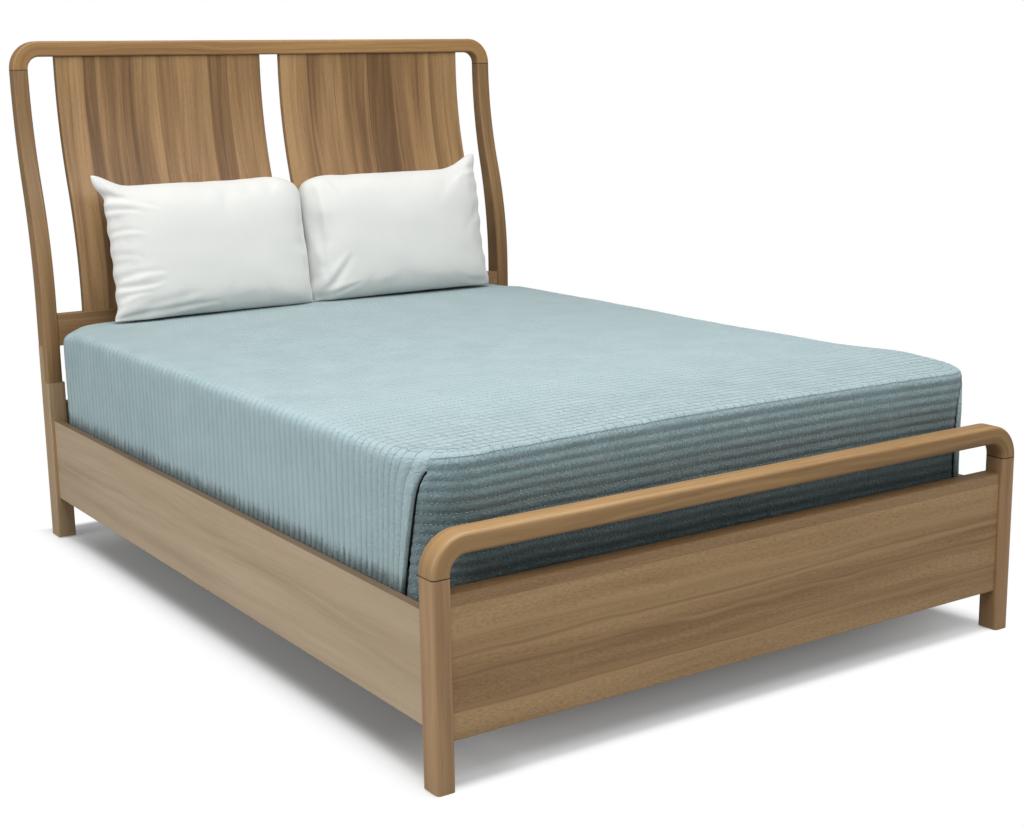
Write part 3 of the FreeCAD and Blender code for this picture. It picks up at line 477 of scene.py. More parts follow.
@dataclass(frozen=True)
class Quilt(Cloth):
    """A channel quilted cloth on flat coordinates: V runs with the bed and is below zero on the foot flap."""

    woven_on: str = "UV"
    channel: float = 0.0215
    long_channel: float = 0.0262
    side_edge: float = 0.745
    # Where the side flaps meet the rails, in flat coordinates; painted shade falls along it.
    tuck: float = 1.03
    pucker: float = 0.0225
    swell: float = 0.0036
    crumple: float = 0.0034
    # Painted highlight on crinkle tops and crease ridges, painted shade in seams and creases, painted light
    # on the side flaps and painted shade on the foot flap.
    painted_highlight: Colour = (1.42, 1.40, 1.38, 1.0)
    deep: Colour = (0.66, 0.70, 0.72, 1.0)
    lit: Colour = (1.10, 1.14, 1.15, 1.0)
    shaded: tuple[float, float, float] = (0.53, 0.58, 0.60)

    def work(self, shade: Shade, spot: Value, colour: Value) -> Value:
        """Channels, crosswise puckers and fine crinkles, strongest on the foot flap and beside it, with
        painted shade in the seams, the creases, along the tuck, on the foot flap and towards the head, and
        painted highlights on the crinkles, the crease ridges and the side flaps.
        """
        u, v, _ = shade.split(spot)
        span, maths = shade.span, shade.maths
        near = span(v, 0.02, 0.42, 0.80, 0.0) + 0.20
        hang = span(v, -0.055, -0.035, 1.0, 0.0)
        strong = hang * 0.55 + near
        side = span(abs(u), self.side_edge, self.side_edge + 0.04)
        phase = (maths("MAXIMUM", v, 0.0) * (math.pi / self.long_channel)
                 + maths("MINIMUM", v, 0.0) * (math.pi / self.channel))
        wave = abs(maths("SINE", phase))
        seam = span(wave, 0.0, 0.22, 1.0, 0.0)
        bent = shade.noise(spot, (9.0, 30.0, 1.0)) * 0.02 + u
        cross = abs(maths("SINE", bent * (math.pi / self.pucker)))
        patch = span(shade.noise(spot, (14.0, 22.0, 1.0)), 0.30, 0.55)
        crease = span(cross, 0.0, 0.34, 1.0, 0.0) * patch
        crinkle = shade.noise(spot, (125.0, 80.0, 1.0), 4.0, 0.64, 1.3)
        calm = side * span(v, 0.0, 0.45, 0.62, 1.0)
        shade.relief(wave * (hang * 0.3 + calm), self.swell)
        ridges = (crease + seam) * (maths("MAXIMUM", hang, side) * -0.75 + 0.87)
        rough = strong + hang * span(v, -0.26, -0.12, 1.6, 0.3)
        shade.relief((crinkle - ridges) * rough, self.crumple)
        # Painted highlight on the crinkles' tops.
        painted_highlight = shade.tint(colour, self.painted_highlight)
        colour = shade.mix(span(crinkle, 0.50, 0.66) * strong * 0.40, colour, painted_highlight)
        # Painted shade in the seams and creases.
        dip = maths("MAXIMUM", seam, crease * 0.4) * strong
        valley = seam * (hang * 0.45 + calm * 0.20)
        colour = shade.mix(dip * 0.20 + valley, colour, shade.tint(colour, self.deep))
        # Painted highlight along the crease ridges.
        ridge = maths("MAXIMUM", crease, seam)
        ridge = span(ridge, 0.02, 0.30) * span(ridge, 0.30, 0.80, 1.0, 0.0)
        colour = shade.mix(ridge * near * (1.0 - side) * 0.4, colour, painted_highlight)
        # Painted shade: the top is a little darker towards the head.
        colour = shade.tint(colour, shade.grey(span(v, 0.4, 1.8, 1.0, 0.94)))
        # Painted shade with a ragged edge where the side flaps tuck in beside the rails.
        tooth = shade.noise(spot, (16.0, 120.0, 1.0))
        ragged = wave * -0.008 + abs(u) + (tooth - 0.5) * 0.05 + (crinkle - 0.5) * 0.035
        painted_tuck_shade = span(ragged, self.tuck - 0.030, self.tuck + 0.010, 1.0, 0.30)
        colour = shade.tint(colour, shade.grey(painted_tuck_shade))
        # Painted light on the side flaps.
        colour = shade.mix(side, colour, shade.tint(colour, self.lit))
        # Painted shade on the foot flap, graded down its drop.
        grade = span(v, -0.150, -0.062, 0.82, 1.50) * span(v, -0.235, -0.19, 1.25, 1.0)
        shaded = shade.join(*(grade * part for part in self.shaded))
        return shade.mix(hang, colour, shade.tint(colour, shaded))


# Finishes

RAIL_OAK = Wood("bent_rail_oak", paint(133, 100, 64), paint(163, 128, 85), paint(187, 151, 105),
                figure=0.75, seed=1.3)
CREST_OAK = Wood("crest_rail_oak", paint(124, 89, 53), paint(154, 116, 72), paint(178, 139, 91),
                 figure=0.75, seed=9.1)
# The foot posts' oak is lighter and the head posts' oak darker than the same timber would be: their tone,
# with painted light on the foot posts and painted shade on the head posts.
POST_OAK = Wood("post_oak", paint(142, 107, 73), paint(172, 136, 98), paint(192, 158, 118),
                figure=0.6, seed=2.1)
LEG_OAK = Wood("head_leg_oak", paint(142, 116, 86), paint(170, 143, 110), paint(190, 164, 131),
               figure=0.6, seed=6.6)
HEAD_OAK = Wood("head_post_oak", paint(104, 76, 47), paint(133, 102, 66), paint(154, 122, 83),
                figure=0.8, through=0.1, seed=2.9)
SIDE_OAK = Wood("side_rail_oak", paint(153, 130, 102), paint(180, 158, 129), paint(196, 175, 146),
                figure=0.5, streaks=0.3, seed=4.7)
FOOT_OAK = Wood("foot_panel_oak", paint(126, 96, 63), paint(158, 126, 87), paint(180, 148, 106),
                figure=0.8, streaks=0.2, speckle=60.0, pores=0.7, fleck=0.11, blend_width=0.010, seed=3.4,
                boards=((0.165, 0.03), (0.235, -0.03), (0.275, 0.01), (0.305, -0.03), (0.5, 0.14)))
CROSS_OAK = Wood("cross_rail_oak", paint(112, 84, 54), paint(140, 108, 72), paint(160, 128, 90),
                 figure=0.7, seed=6.2)
PLANKS = Wood("plank_veneer", paint(96, 68, 41), paint(138, 105, 68), paint(168, 133, 91),
              figure=0.85, streaks=0.36, through=0.1, fleck=0.05, seed=5.5,
              boards=((-0.604, 0.07), (-0.566, -0.11), (-0.493, 0.02), (-0.455, -0.06), (-0.376, -0.02),
                      (-0.209, 0.02), (-0.146, -0.13), (-0.082, 0.06), (0.0, 0.01), (0.125, 0.08),
                      (0.223, -0.04), (0.343, 0.00), (0.440, -0.12), (0.574, 0.01), (0.7, 0.04)))
PINE = Wood("slat_pine", paint(186, 148, 98), paint(208, 172, 122), paint(222, 190, 142),
            figure=0.8, gloss=0.6, seed=7.9)
BEECH = Wood("dowel_beech", paint(190, 150, 112), paint(206, 170, 132), paint(218, 184, 148),
             figure=0.5, gloss=0.6, seed=8.3)
PLATE_STEEL = Metal("plate_steel", paint(196, 194, 186))
SCREW_STEEL = Metal("screw_steel", paint(206, 203, 192), 0.32)
INSERT_STEEL = Metal("insert_steel", paint(204, 190, 150), 0.34)
PAD_PLASTIC = Moulding("pad_plastic", paint(38, 38, 40))
GLIDE_NYLON = Moulding("glide_nylon", paint(86, 74, 62))
TICKING = Cloth("box_spring_cloth", paint(120, 122, 124), paint(104, 106, 109), 0.0022)
# Dark grey, chosen so that the gaps at the coverlet's open corners look dark: partly the cloth's colour,
# partly painted shade.
KNIT = Cloth("mattress_cloth", paint(70, 76, 80), paint(58, 64, 68), 0.0019, 0.0006)
COVERLET = Quilt("coverlet_cotton", paint(158, 177, 179), paint(149, 170, 173), 0.0013)
THREAD = Cloth("coverlet_thread", paint(196, 210, 211), paint(184, 200, 202), 0.0008)
FINE_THREAD = Cloth("coverlet_fine_thread", paint(166, 184, 186), paint(158, 177, 180), 0.0008)
PERCALE = Cloth("pillow_cotton", paint(220, 219, 215), paint(216, 216, 212), 0.0008)


@dataclass(frozen=True)
class FrameDress:
    """Gives every timber, metal and plastic solid of the bed its finish."""

    strip_height: float = 0.024
    edge_round: float = 2.2 * MM

    def bend_of(self, rail: str, post: str) -> Bend:
        """Finds the bend of a top rail from its box.

        Args:
            rail: The rail's node.
            post: A post in line with the rail, as thick as the rail in the plane of the bend.

        Returns:
            The bend that its grain follows.
        """
        low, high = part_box(rail)
        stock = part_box(post)[1].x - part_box(post)[0].x
        outer = high.z - low.z - self.edge_round
        return Bend(high.x - outer, high.z - outer, outer - stock / 2)

    def finishes(self) -> list[tuple[str, bpy.types.Material]]:
        """Pairs a word of a solid's name with its material; the first word that is found counts."""
        foot = (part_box("foot_top_rail")[0].z,)
        head = (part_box("head_top_rail")[0].z,)
        panel_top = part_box("foot_panel")[1].z
        # The strip also gives the panel's top face painted shade.
        foot_oak = replace(FOOT_OAK, strip=(panel_top - self.strip_height, panel_top))
        foot_bend = self.bend_of("foot_top_rail", "foot_post_left")
        head_bend = self.bend_of("head_top_rail", "head_post_left")
        screw = SCREW_STEEL.make()
        return [
            ("screws", screw), ("stem", screw), ("dowels", BEECH.make(Run.UPRIGHT)),
            ("plate", PLATE_STEEL.make()),
            ("foot_top_rail", replace(RAIL_OAK, seams=foot).make(Run.BENT, foot_bend)),
            ("head_top_rail", replace(CREST_OAK, seams=head).make(Run.BENT, head_bend)),
            ("foot_panel", foot_oak.make(Run.ACROSS_BED)),
            ("foot_post", replace(POST_OAK, seams=foot).make(Run.UPRIGHT)),
            ("head_post", replace(HEAD_OAK, seams=head).make(Run.UPRIGHT)),
            ("head_leg", LEG_OAK.make(Run.UPRIGHT)),
            # The cap gives the side rails' top face painted shade.
            ("side_rail", replace(SIDE_OAK, cap=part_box("side_rail_left")[1].z).make(Run.ALONG_BED)),
            ("cross_rail", CROSS_OAK.make(Run.ACROSS_BED)), ("head_panel", PLANKS.make(Run.UPRIGHT)),
            ("ledger", replace(PINE, seed=2.7).make(Run.ALONG_BED)),
            ("slat_leg", replace(PINE, seed=5.2).make(Run.UPRIGHT)), ("slat", PINE.make(Run.ACROSS_BED)),
            ("insert", INSERT_STEEL.make()), ("pad", PAD_PLASTIC.make()), ("glides", GLIDE_NYLON.make()),
        ]

    def dress(self) -> None:
        """Sets the material of every solid that stays."""
        finishes = self.finishes()
        for name, node in NODES.items():
            material = next((finish for word, finish in finishes if word in name), None)
            if material is None:
                LOG.info("%s is modelled as fabric", name)
                continue
            node.data.materials.clear()
            node.data.materials.append(material)
            for face in node.data.polygons:
                face.material_index = 0


@dataclass(frozen=True)
class Form:
    """A soft block's form: a plan with round corners, round top edges and a crowned top."""

    half: float
    front: float
    rear: float
    low: float
    edge_top: float
    crown: float
    corner: float
    rounding: float

    @classmethod
    def of_node(cls, node: str, crown: float, corner: float, rounding: float) -> "Form":
        """Reads a form from a node's box.

        Args:
            node: The node that the form fills.
            crown: How much the middle of the top stands above its long edges.
            corner: The corners' radius in plan.
            rounding: The radius of the top edges.

        Returns:
            The form.
        """
        low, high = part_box(node)
        return cls(high.x, low.y, high.y, low.z, high.z - crown, crown, corner, rounding)

    def top(self, x: float) -> float:
        """The height of the top above a place across the bed."""
        return self.edge_top + self.crown * (1 - (x / self.half) ** 2)

    def outline(self, run: float) -> tuple[Vector, Vector]:
        """A place on the plan's outline, on the foot corner at the right.

        Args:
            run: Distance along the outline from the corner's middle, towards the side.

        Returns:
            The place and its outward direction, both in plan.
        """
        centre = Vector((self.half - self.corner, self.front + self.corner))
        quarter = self.corner * math.pi / 4
        if run > quarter:
            return Vector((self.half, centre.y + run - quarter)), Vector((1.0, 0.0))
        if run < -quarter:
            return Vector((centre.x + run + quarter, self.front)), Vector((0.0, -1.0))
        angle = -math.pi / 4 + run / self.corner
        way = Vector((math.cos(angle), math.sin(angle)))
        return centre + way * self.corner, way


def noise_at(spot: Vector, size: float, seed: float) -> float:
    """Smooth noise between -1 and 1 whose waves are about as long as a size."""
    return noise.noise(spot / size + Vector((seed, seed * 1.7, seed * 0.3)))


def mesh_piece(name: str, points: Sequence[Vector], faces: Sequence[Sequence[int]],
               material: bpy.types.Material, body: str, node: str) -> bpy.types.Object:
    """Makes a smooth piece that rides on a body and stands for a node.

    Args:
        name: The piece's name.
        points: Its points in the bed's frame.
        faces: Its faces.
        material: Its finish.
        body: The body that carries it.
        node: The node that it replaces.

    Returns:
        The piece.
    """
    mesh = bpy.data.meshes.new(name)
    mesh.from_pydata([tuple(p) for p in points], [], faces)
    mesh.materials.append(material)
    mesh.shade_smooth()
    piece = bpy.data.objects.new(name, mesh)
    bpy.context.scene.collection.objects.link(piece)
    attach(piece, body)
    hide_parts(node)
    return piece


def settle(piece: bpy.types.Object) -> None:
    """Turns a piece's modifiers into plain mesh."""
    graph = bpy.context.evaluated_depsgraph_get()
    mesh = bpy.data.meshes.new_from_object(piece.evaluated_get(graph), depsgraph=graph)
    piece.modifiers.clear()
    old = piece.data
    piece.data = mesh
    bpy.data.meshes.remove(old)


def face_outward(mesh: bpy.types.Mesh) -> None:
    """Turns every face of a closed mesh outward."""
    work = bmesh.new()
    work.from_mesh(mesh)
    bmesh.ops.recalc_face_normals(work, faces=work.faces)
    if work.calc_volume(signed=True) < 0:
        bmesh.ops.reverse_faces(work, faces=work.faces)
    work.to_mesh(mesh)
    work.free()


COVER_BODY = "mattress"


@dataclass
class Coverlet:
    """The quilted coverlet: its draped form, its channels, its open corner pleats and its rows.

    Lengths are in metres. A pleat holds how far its edge swings, within what depth, and its slope.
    """

    form: Form
    pitch: float = 0.0215
    long_pitch: float = 0.0262
    step_across: float = 0.0165
    thick: float = 0.007
    split: float = 0.067
    reach: float = 0.13
    gap: float = 0.0052
    gap_growth: float = 0.014
    pleat_lead: float = 0.012
    pleat_left: tuple[float, float, float] = (0.017, 0.02, 0.175)
    pleat_right: tuple[float, float, float] = (0.040, 0.03, 0.03)
    near_foot: float = 0.33
    lifted: tuple[float, float] = (0.74, -0.84)
    lifted_reach: tuple[float, float] = (0.16, 0.15)
    lifted_height: float = 0.010
    foot_square: float = 8.0
    side_square: float = 3.4
    corner_columns: int = 9
    edge_blend: float = 0.08
    lip_in: float = 0.0015
    lip_out: float = 0.0065
    lip_reach: float = 0.022
    lip_depth: float = 0.03
    hang_depth: float = 0.28
    hang_sway: float = 0.0045
    hang_size: float = 0.16
    fall_bends: float = 1.6
    droop_reach: tuple[float, float] = (0.040, 0.060)
    droop_depth: float = 0.026
    puff_side: float = 0.0010
    puff_foot: float = 0.0018
    puff_top: float = 0.0003
    puff_front: float = 0.0008
    front_fade: float = 0.14
    pucker_size: float = 0.028
    pucker_depth: float = 0.0006
    pucker_foot: float = 0.0014
    sway_size: float = 0.30
    sway_top: float = 0.0030
    sway_side: float = 0.0022
    tuck_height: float = 0.34
    tuck_fade: float = 0.04
    tuck_least: float = 0.15
    off_solid: float = 0.0012
    stitch_lift: float = 0.0004
    foot_stitch_lift: float = 0.0009
    material: bpy.types.Material | None = None
    rows: list[list[Vector]] = field(default_factory=list)
    foot_lines: list[list[Vector]] = field(default_factory=list)

    def __post_init__(self) -> None:
        """Lays out the flat grid that the cloth is woven on."""
        form = self.form
        self.inner = form.half - form.rounding
        self.block = form.corner - form.rounding
        self.inner_front = form.front + form.rounding
        self.foot_edge = self.edge_table(self.foot_square)
        self.side_edge = self.edge_table(self.side_square)
        self.bend = self.foot_edge[0][-1]
        self.fine = self.pitch / 4
        self.fine_long = self.long_pitch / 4
        plain = self.inner - self.block
        middle = np.linspace(-plain, plain, round(2 * plain / self.step_across))
        pairs = ((-self.inner, -plain), (plain, self.inner))
        ends = [np.linspace(*pair, self.corner_columns) for pair in pairs]
        self.across = np.unique(np.round(np.concatenate([ends[0], middle, ends[1]]), 6))
        corner_steps = math.ceil(self.block / self.fine_long)
        self.block_length = corner_steps * self.fine_long
        length = form.rear - self.inner_front
        close = np.arange(round(self.near_foot / self.long_pitch) * 4 + 1) * self.fine_long
        wide = np.arange(close[-1] + 2 * self.fine_long, length - self.fine_long, 2 * self.fine_long)
        self.along = np.concatenate([close, wide, [length]])
        drop = form.edge_top - form.rounding - form.low
        self.foot_rows = math.ceil((self.bend + drop) / self.fine)
        self.joined = int(self.split / self.fine)
        coarse = range(self.joined + 2, self.foot_rows - 1, 3)
        self.levels = [*range(self.joined + 1), *coarse, self.foot_rows]

    def edge_table(self, square: float) -> tuple[np.ndarray, np.ndarray, np.ndarray]:
        """The rounded top edge's section: run lengths, outward shifts and drops, by how square it is."""
        turn = np.linspace(0.0, math.pi / 2, 400)
        out = self.form.rounding * (np.sin(turn) ** (2 / square) - 1)
        drop = self.form.rounding * (1 - np.cos(turn) ** (2 / square))
        steps = np.hypot(np.diff(out), np.diff(drop))
        return np.concatenate([[0.0], np.cumsum(steps)]), out, drop

    def plan(self, a: float, b: float) -> Vector:
        """Where a point of the flat grid lies on the top, in plan, with the corner blocks rounded."""
        plain = self.inner - self.block
        extra = abs(a) - plain
        short = self.block_length - b
        if extra > 0 and short > 0:
            s, t = extra / self.block, short / self.block_length
            x = plain + self.block * s * math.sqrt(1 - t * t / 2)
            y = self.inner_front + self.block_length - self.block_length * t * math.sqrt(1 - s * s / 2)
            return Vector((math.copysign(x, a), y))
        return Vector((a, self.inner_front + b))

    def pleat(self, length: float, side: float) -> float:
        """How far the pleat's edge lies round the corner towards the side, by its depth in the drop."""
        sign = 1.0 if side < 0 else -1.0
        if length <= self.split:
            return sign * self.pleat_lead * (length / self.split) ** 2
        below = length - self.split
        swing, depth, slope = self.pleat_right if side > 0 else self.pleat_left
        return sign * (self.pleat_lead + swing * (1 - math.exp(-below / depth)) + slope * below)

    def wall(self, side: float, run: float, depth: float, foot: bool) -> Vector:
        """A point of a hanging flap.

        Args:
            side: 1 on the right half of the bed and -1 on the left.
            run: Distance along the outline from the middle of the foot corner, towards the side.
            depth: Share of the drop, 0 at the top's edge and 1 at the hem.
            foot: Whether the point is on the foot flap.

        Returns:
            The point.
        """
        form = self.form
        level = form.top(max(min(form.outline(run)[0].x, self.inner), -self.inner))
        length = depth * (self.bend + level - form.rounding - form.low)
        open_edge = length > self.split
        shift = self.pleat(length, side)
        if foot and open_edge:
            shift -= self.gap + self.gap_growth * (length - self.split)
        corner, way = form.outline(run + shift * math.exp(-abs(run) / self.reach))
        beside = min(1.0, max(0.0, run / self.edge_blend + 0.5))
        out = drop = 0.0
        for table, weight in ((self.foot_edge, 1 - beside), (self.side_edge, beside)):
            spot = length / self.bend * table[0][-1]
            out += weight * float(np.interp(spot, table[0], table[1]))
            drop += weight * float(np.interp(spot, table[0], table[2]))
        drop += max(0.0, length - self.bend)
        if open_edge:
            opened = 1 - math.exp(-(length - self.split) / self.lip_depth)
            lip = math.exp(-abs(run) / self.lip_reach) * opened
            out += -self.lip_in * lip if foot else self.lip_out * lip
        if length > self.bend:
            hang = min((length - self.bend) / self.hang_depth, 1.0)
            wander = noise_at(Vector((run * side, depth * 0.12, side)), self.hang_size, 5.0)
            drop += self.hang_sway * wander * math.sin(math.pi * hang)
        spot = corner + way * out
        fall = self.droop(spot.x, spot.y) * max(0.0, 1 - length / (self.fall_bends * self.bend))
        return Vector((spot.x * side, spot.y, level - drop - fall))

    def run_of(self, a: float, b: float) -> float:
        """The distance along the outline of a point on the edge of the flat grid."""
        form = self.form
        spot = self.plan(a, b)
        centre = Vector((form.half - form.corner, form.front + form.corner))
        quarter = form.corner * math.pi / 4
        x, y = abs(spot.x), spot.y
        if y >= centre.y:
            return quarter + y - centre.y
        if x <= centre.x:
            return -quarter - (centre.x - x)
        return (math.atan2(y - centre.y, x - centre.x) + math.pi / 4) * form.corner

    def weave(self) -> tuple[list[Vector], list[list[int]], list[list[tuple[float, float]]]]:
        """Builds the sheet's points, faces and flat coordinates."""
        points: list[Vector] = []
        faces: list[list[int]] = []
        uvs: list[list[tuple[float, float]]] = []
        top = np.zeros((len(self.across), len(self.along)), int)
        for i, a in enumerate(self.across):
            for k, b in enumerate(self.along):
                spot = self.plan(a, b)
                top[i, k] = len(points)
                level = self.form.top(spot.x) - self.droop(spot.x, spot.y)
                points.append(Vector((spot.x, spot.y, level)))

        def cells(grid: np.ndarray, flat: Callable[[int, int], tuple[float, float]], turned: bool) -> None:
            """Adds a grid's faces with their flat coordinates."""
            for i in range(grid.shape[0] - 1):
                for k in range(grid.shape[1] - 1):
                    ring = [(i, k), (i + 1, k), (i + 1, k + 1), (i, k + 1)]
                    ring = ring[::-1] if turned else ring
                    faces.append([int(grid[r]) for r in ring])
                    uvs.append([flat(*r) for r in ring])

        cells(top, lambda i, k: (self.across[i], self.along[k]), False)
        foot = np.zeros((len(self.across), self.foot_rows + 1), int)
        foot[:, 0] = top[:, 0]
        for i, a in enumerate(self.across):
            side = math.copysign(1.0, a)
            for j in range(1, self.foot_rows + 1):
                foot[i, j] = len(points)
                points.append(self.wall(side, self.run_of(a, 0.0), j / self.foot_rows, True))
        cells(foot, lambda i, j: (self.across[i], -j * self.fine), True)
        self.flaps = []
        for side, column in ((-1.0, 0), (1.0, -1)):
            flap = np.zeros((len(self.levels), len(self.along)), int)
            flap[0, :] = top[column, :]
            for k, b in enumerate(self.along):
                run = self.run_of(self.inner, b)
                for j, level in enumerate(self.levels[1:], 1):
                    if k == 0 and level <= self.joined:
                        flap[j, k] = foot[column, level]
                        continue
                    flap[j, k] = len(points)
                    points.append(self.wall(side, run, level / self.foot_rows, False))
            downs = [side * (self.inner + level * self.fine) for level in self.levels]
            cells(flap, lambda j, k, downs=downs: (downs[j], self.along[k]), side < 0)
            self.flaps.append(flap)
        self.top_grid, self.foot_grid = top, foot
        return points, faces, uvs

    def droop(self, x: float, y: float) -> float:
        """How far the cloth drops where nothing carries it, at the square corners of the head end."""
        inward = (self.form.half - abs(x)) / self.droop_reach[0]
        back = (self.form.rear - y) / self.droop_reach[1]
        return self.droop_depth * math.exp(-inward * inward - back * back)

    def relief(self, spot: Vector, normal: Vector, u: float, v: float) -> float:
        """How far the quilting and the creases lift a point along its normal."""
        on_top = max(0.0, normal.z)
        front = math.exp(-max(0.0, v) / self.front_fade)
        on_foot = 1.0 if v < 0 else 0.0
        strength = (1 - on_top) * (self.puff_side + self.puff_foot * on_foot)
        strength += on_top * (self.puff_top + self.puff_front * front)
        phase = math.pi * (v / self.pitch if v < 0 else v / self.long_pitch)
        puff = strength * (abs(math.sin(phase)) - 0.5) * (0.8 + 0.5 * noise_at(spot, 0.08, 3.0))
        pucker = noise_at(Vector((u, v * 0.5, 0.0)), self.pucker_size, 8.0)
        pucker *= self.pucker_depth + self.pucker_foot * on_foot
        sway = noise_at(spot, self.sway_size, 1.0) * (self.sway_top * on_top + self.sway_side * (1 - on_top))
        away = math.hypot((spot.x - self.lifted[0]) / self.lifted_reach[0],
                          (spot.y - self.lifted[1]) / self.lifted_reach[1])
        return puff + pucker + sway + on_top * self.lifted_height * math.exp(-away * away)

    def build(self) -> bpy.types.Object:
        """Builds the coverlet piece."""
        points, faces, uvs = self.weave()
        piece = mesh_piece("coverlet_cloth", points, faces, self.material,
                           COVER_BODY, "coverlet")
        mesh = piece.data
        layer = mesh.uv_layers.new(name="cloth")
        flat = np.array([uv for ring in uvs for uv in ring], dtype=np.float32)
        layer.data.foreach_set("uv", flat.ravel())
        spot_uv = np.zeros((len(points), 2))
        for ring, uv in zip(faces, uvs):
            for index, pair in zip(ring, uv):
                spot_uv[index] = pair
        normals = [v.normal.copy() for v in mesh.vertices]
        for vertex, normal in zip(mesh.vertices, normals):
            u, v = spot_uv[vertex.index]
            lift = self.relief(vertex.co, normal, u, v)
            free = min(1.0, max(self.tuck_least, (vertex.co.z - self.tuck_height) / self.tuck_fade))
            vertex.co += normal * (lift * free + self.off_solid)
        self.collect_rows(mesh)
        shell = piece.modifiers.new("shell", "SOLIDIFY")
        shell.thickness = self.thick
        shell.offset = -1.0
        settle(piece)
        return piece

    def collect_rows(self, mesh: bpy.types.Mesh) -> None:
        """Keeps the channel lines, which the stitches follow."""
        def raised(line: Sequence[int], height: float) -> list[Vector]:
            """The points of a line, lifted off the cloth."""
            return [mesh.vertices[int(i)].co + mesh.vertices[int(i)].normal * height for i in line]

        left, right = self.flaps
        for k, b in enumerate(self.along[:-1]):
            steps = b / self.long_pitch
            if k and abs(steps - round(steps)) < 1e-4:
                line = [*left[:0:-1, k][2:], *self.top_grid[:, k], *right[1:, k][:-2]]
                self.rows.append(raised(line, self.stitch_lift))
        for j in range(0, self.foot_grid.shape[1] - 1, 4):
            self.foot_lines.append(raised(self.foot_grid[:, j], self.foot_stitch_lift))


@dataclass(frozen=True)
class Stitching:
    """Running stitches along lines, laid by a geometry node group."""

    length: float = 0.0066
    pitch: float = 0.0108
    girth: float = 0.00085
    spread: tuple[float, float] = (0.82, 1.12)
    first_gap: float = 0.9
    seed: int = 11

    def group(self) -> bpy.types.NodeTree:
        """Builds the node group with its named inputs."""
        made = bpy.data.node_groups.new("running_stitch", "GeometryNodeTree")
        kinds = {"Lines": "Geometry", "Length": "Float", "Pitch": "Float", "Girth": "Float",
                 "Seed": "Int", "Thread": "Material"}
        for name, kind in kinds.items():
            made.interface.new_socket(name, in_out="INPUT", socket_type=f"NodeSocket{kind}")
        made.interface.new_socket("Stitches", in_out="OUTPUT", socket_type="NodeSocketGeometry")
        tree = Tree(made)
        given = tree.add("NodeGroupInput").outputs
        lines = tree.node("GeometryNodeMeshToCurve", {"Mesh": given["Lines"]})
        even = tree.node("GeometryNodeResampleCurve", {"Curve": lines, "Length": given["Pitch"]},
                         mode="LENGTH")
        bead = tree.node("GeometryNodeMeshUVSphere", {"Segments": 4, "Rings": 3, "Radius": 0.5})
        size = tree.join(given["Girth"], given["Girth"], given["Length"])
        upright = tree.node("GeometryNodeTransform", {"Geometry": bead, "Scale": size})
        tangent = tree.node("GeometryNodeInputTangent", {})
        way = tree.node("FunctionNodeAlignRotationToVector", {"Vector": tangent}, axis="Z")
        vary = tree.add("FunctionNodeRandomValue", data_type="FLOAT")
        low, high = [socket for socket in vary.inputs if socket.type == "VALUE"][:2]
        low.default_value, high.default_value = self.spread
        tree.feed(vary.inputs["Seed"], given["Seed"])
        share = next(socket for socket in vary.outputs if socket.type == "VALUE")
        laid = tree.node("GeometryNodeInstanceOnPoints",
                         {"Points": even, "Instance": upright, "Rotation": way, "Scale": share})
        real = tree.node("GeometryNodeRealizeInstances", {0: laid})
        finish = tree.node("GeometryNodeSetMaterial", {"Geometry": real, "Material": given["Thread"]})
        tree.feed(tree.add("NodeGroupOutput").inputs[0], finish)
        return made

    def lay(self, name: str, rows: Sequence[Sequence[Vector]], tree: bpy.types.NodeTree,
            thread: bpy.types.Material) -> bpy.types.Object:
        """Lays stitches along rows as one piece.

        Args:
            name: The piece's name.
            rows: The lines to follow.
            tree: The stitch node group.
            thread: The thread's finish.

        Returns:
            The piece.
        """
        chance = np.random.default_rng(self.seed)
        rows = [[row[0].lerp(row[1], float(chance.random()) * self.first_gap), *row[1:]] for row in rows]
        points = []
        edges = []
        for row in rows:
            edges += [(len(points) + n, len(points) + n + 1) for n in range(len(row) - 1)]
            points += row
        mesh = bpy.data.meshes.new(name)
        mesh.from_pydata([tuple(p) for p in points], edges, [])
        piece = bpy.data.objects.new(name, mesh)
        bpy.context.scene.collection.objects.link(piece)
        modifier = piece.modifiers.new("stitches", "NODES")
        modifier.node_group = tree
        given = {"Length": self.length, "Pitch": self.pitch, "Girth": self.girth,
                 "Seed": self.seed, "Thread": thread}
        for item in tree.interface.items_tree:
            if item.in_out == "INPUT" and item.name in given:
                modifier[item.identifier] = given[item.name]
        settle(piece)
        piece.data.shade_smooth()
        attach(piece, COVER_BODY)
        return piece


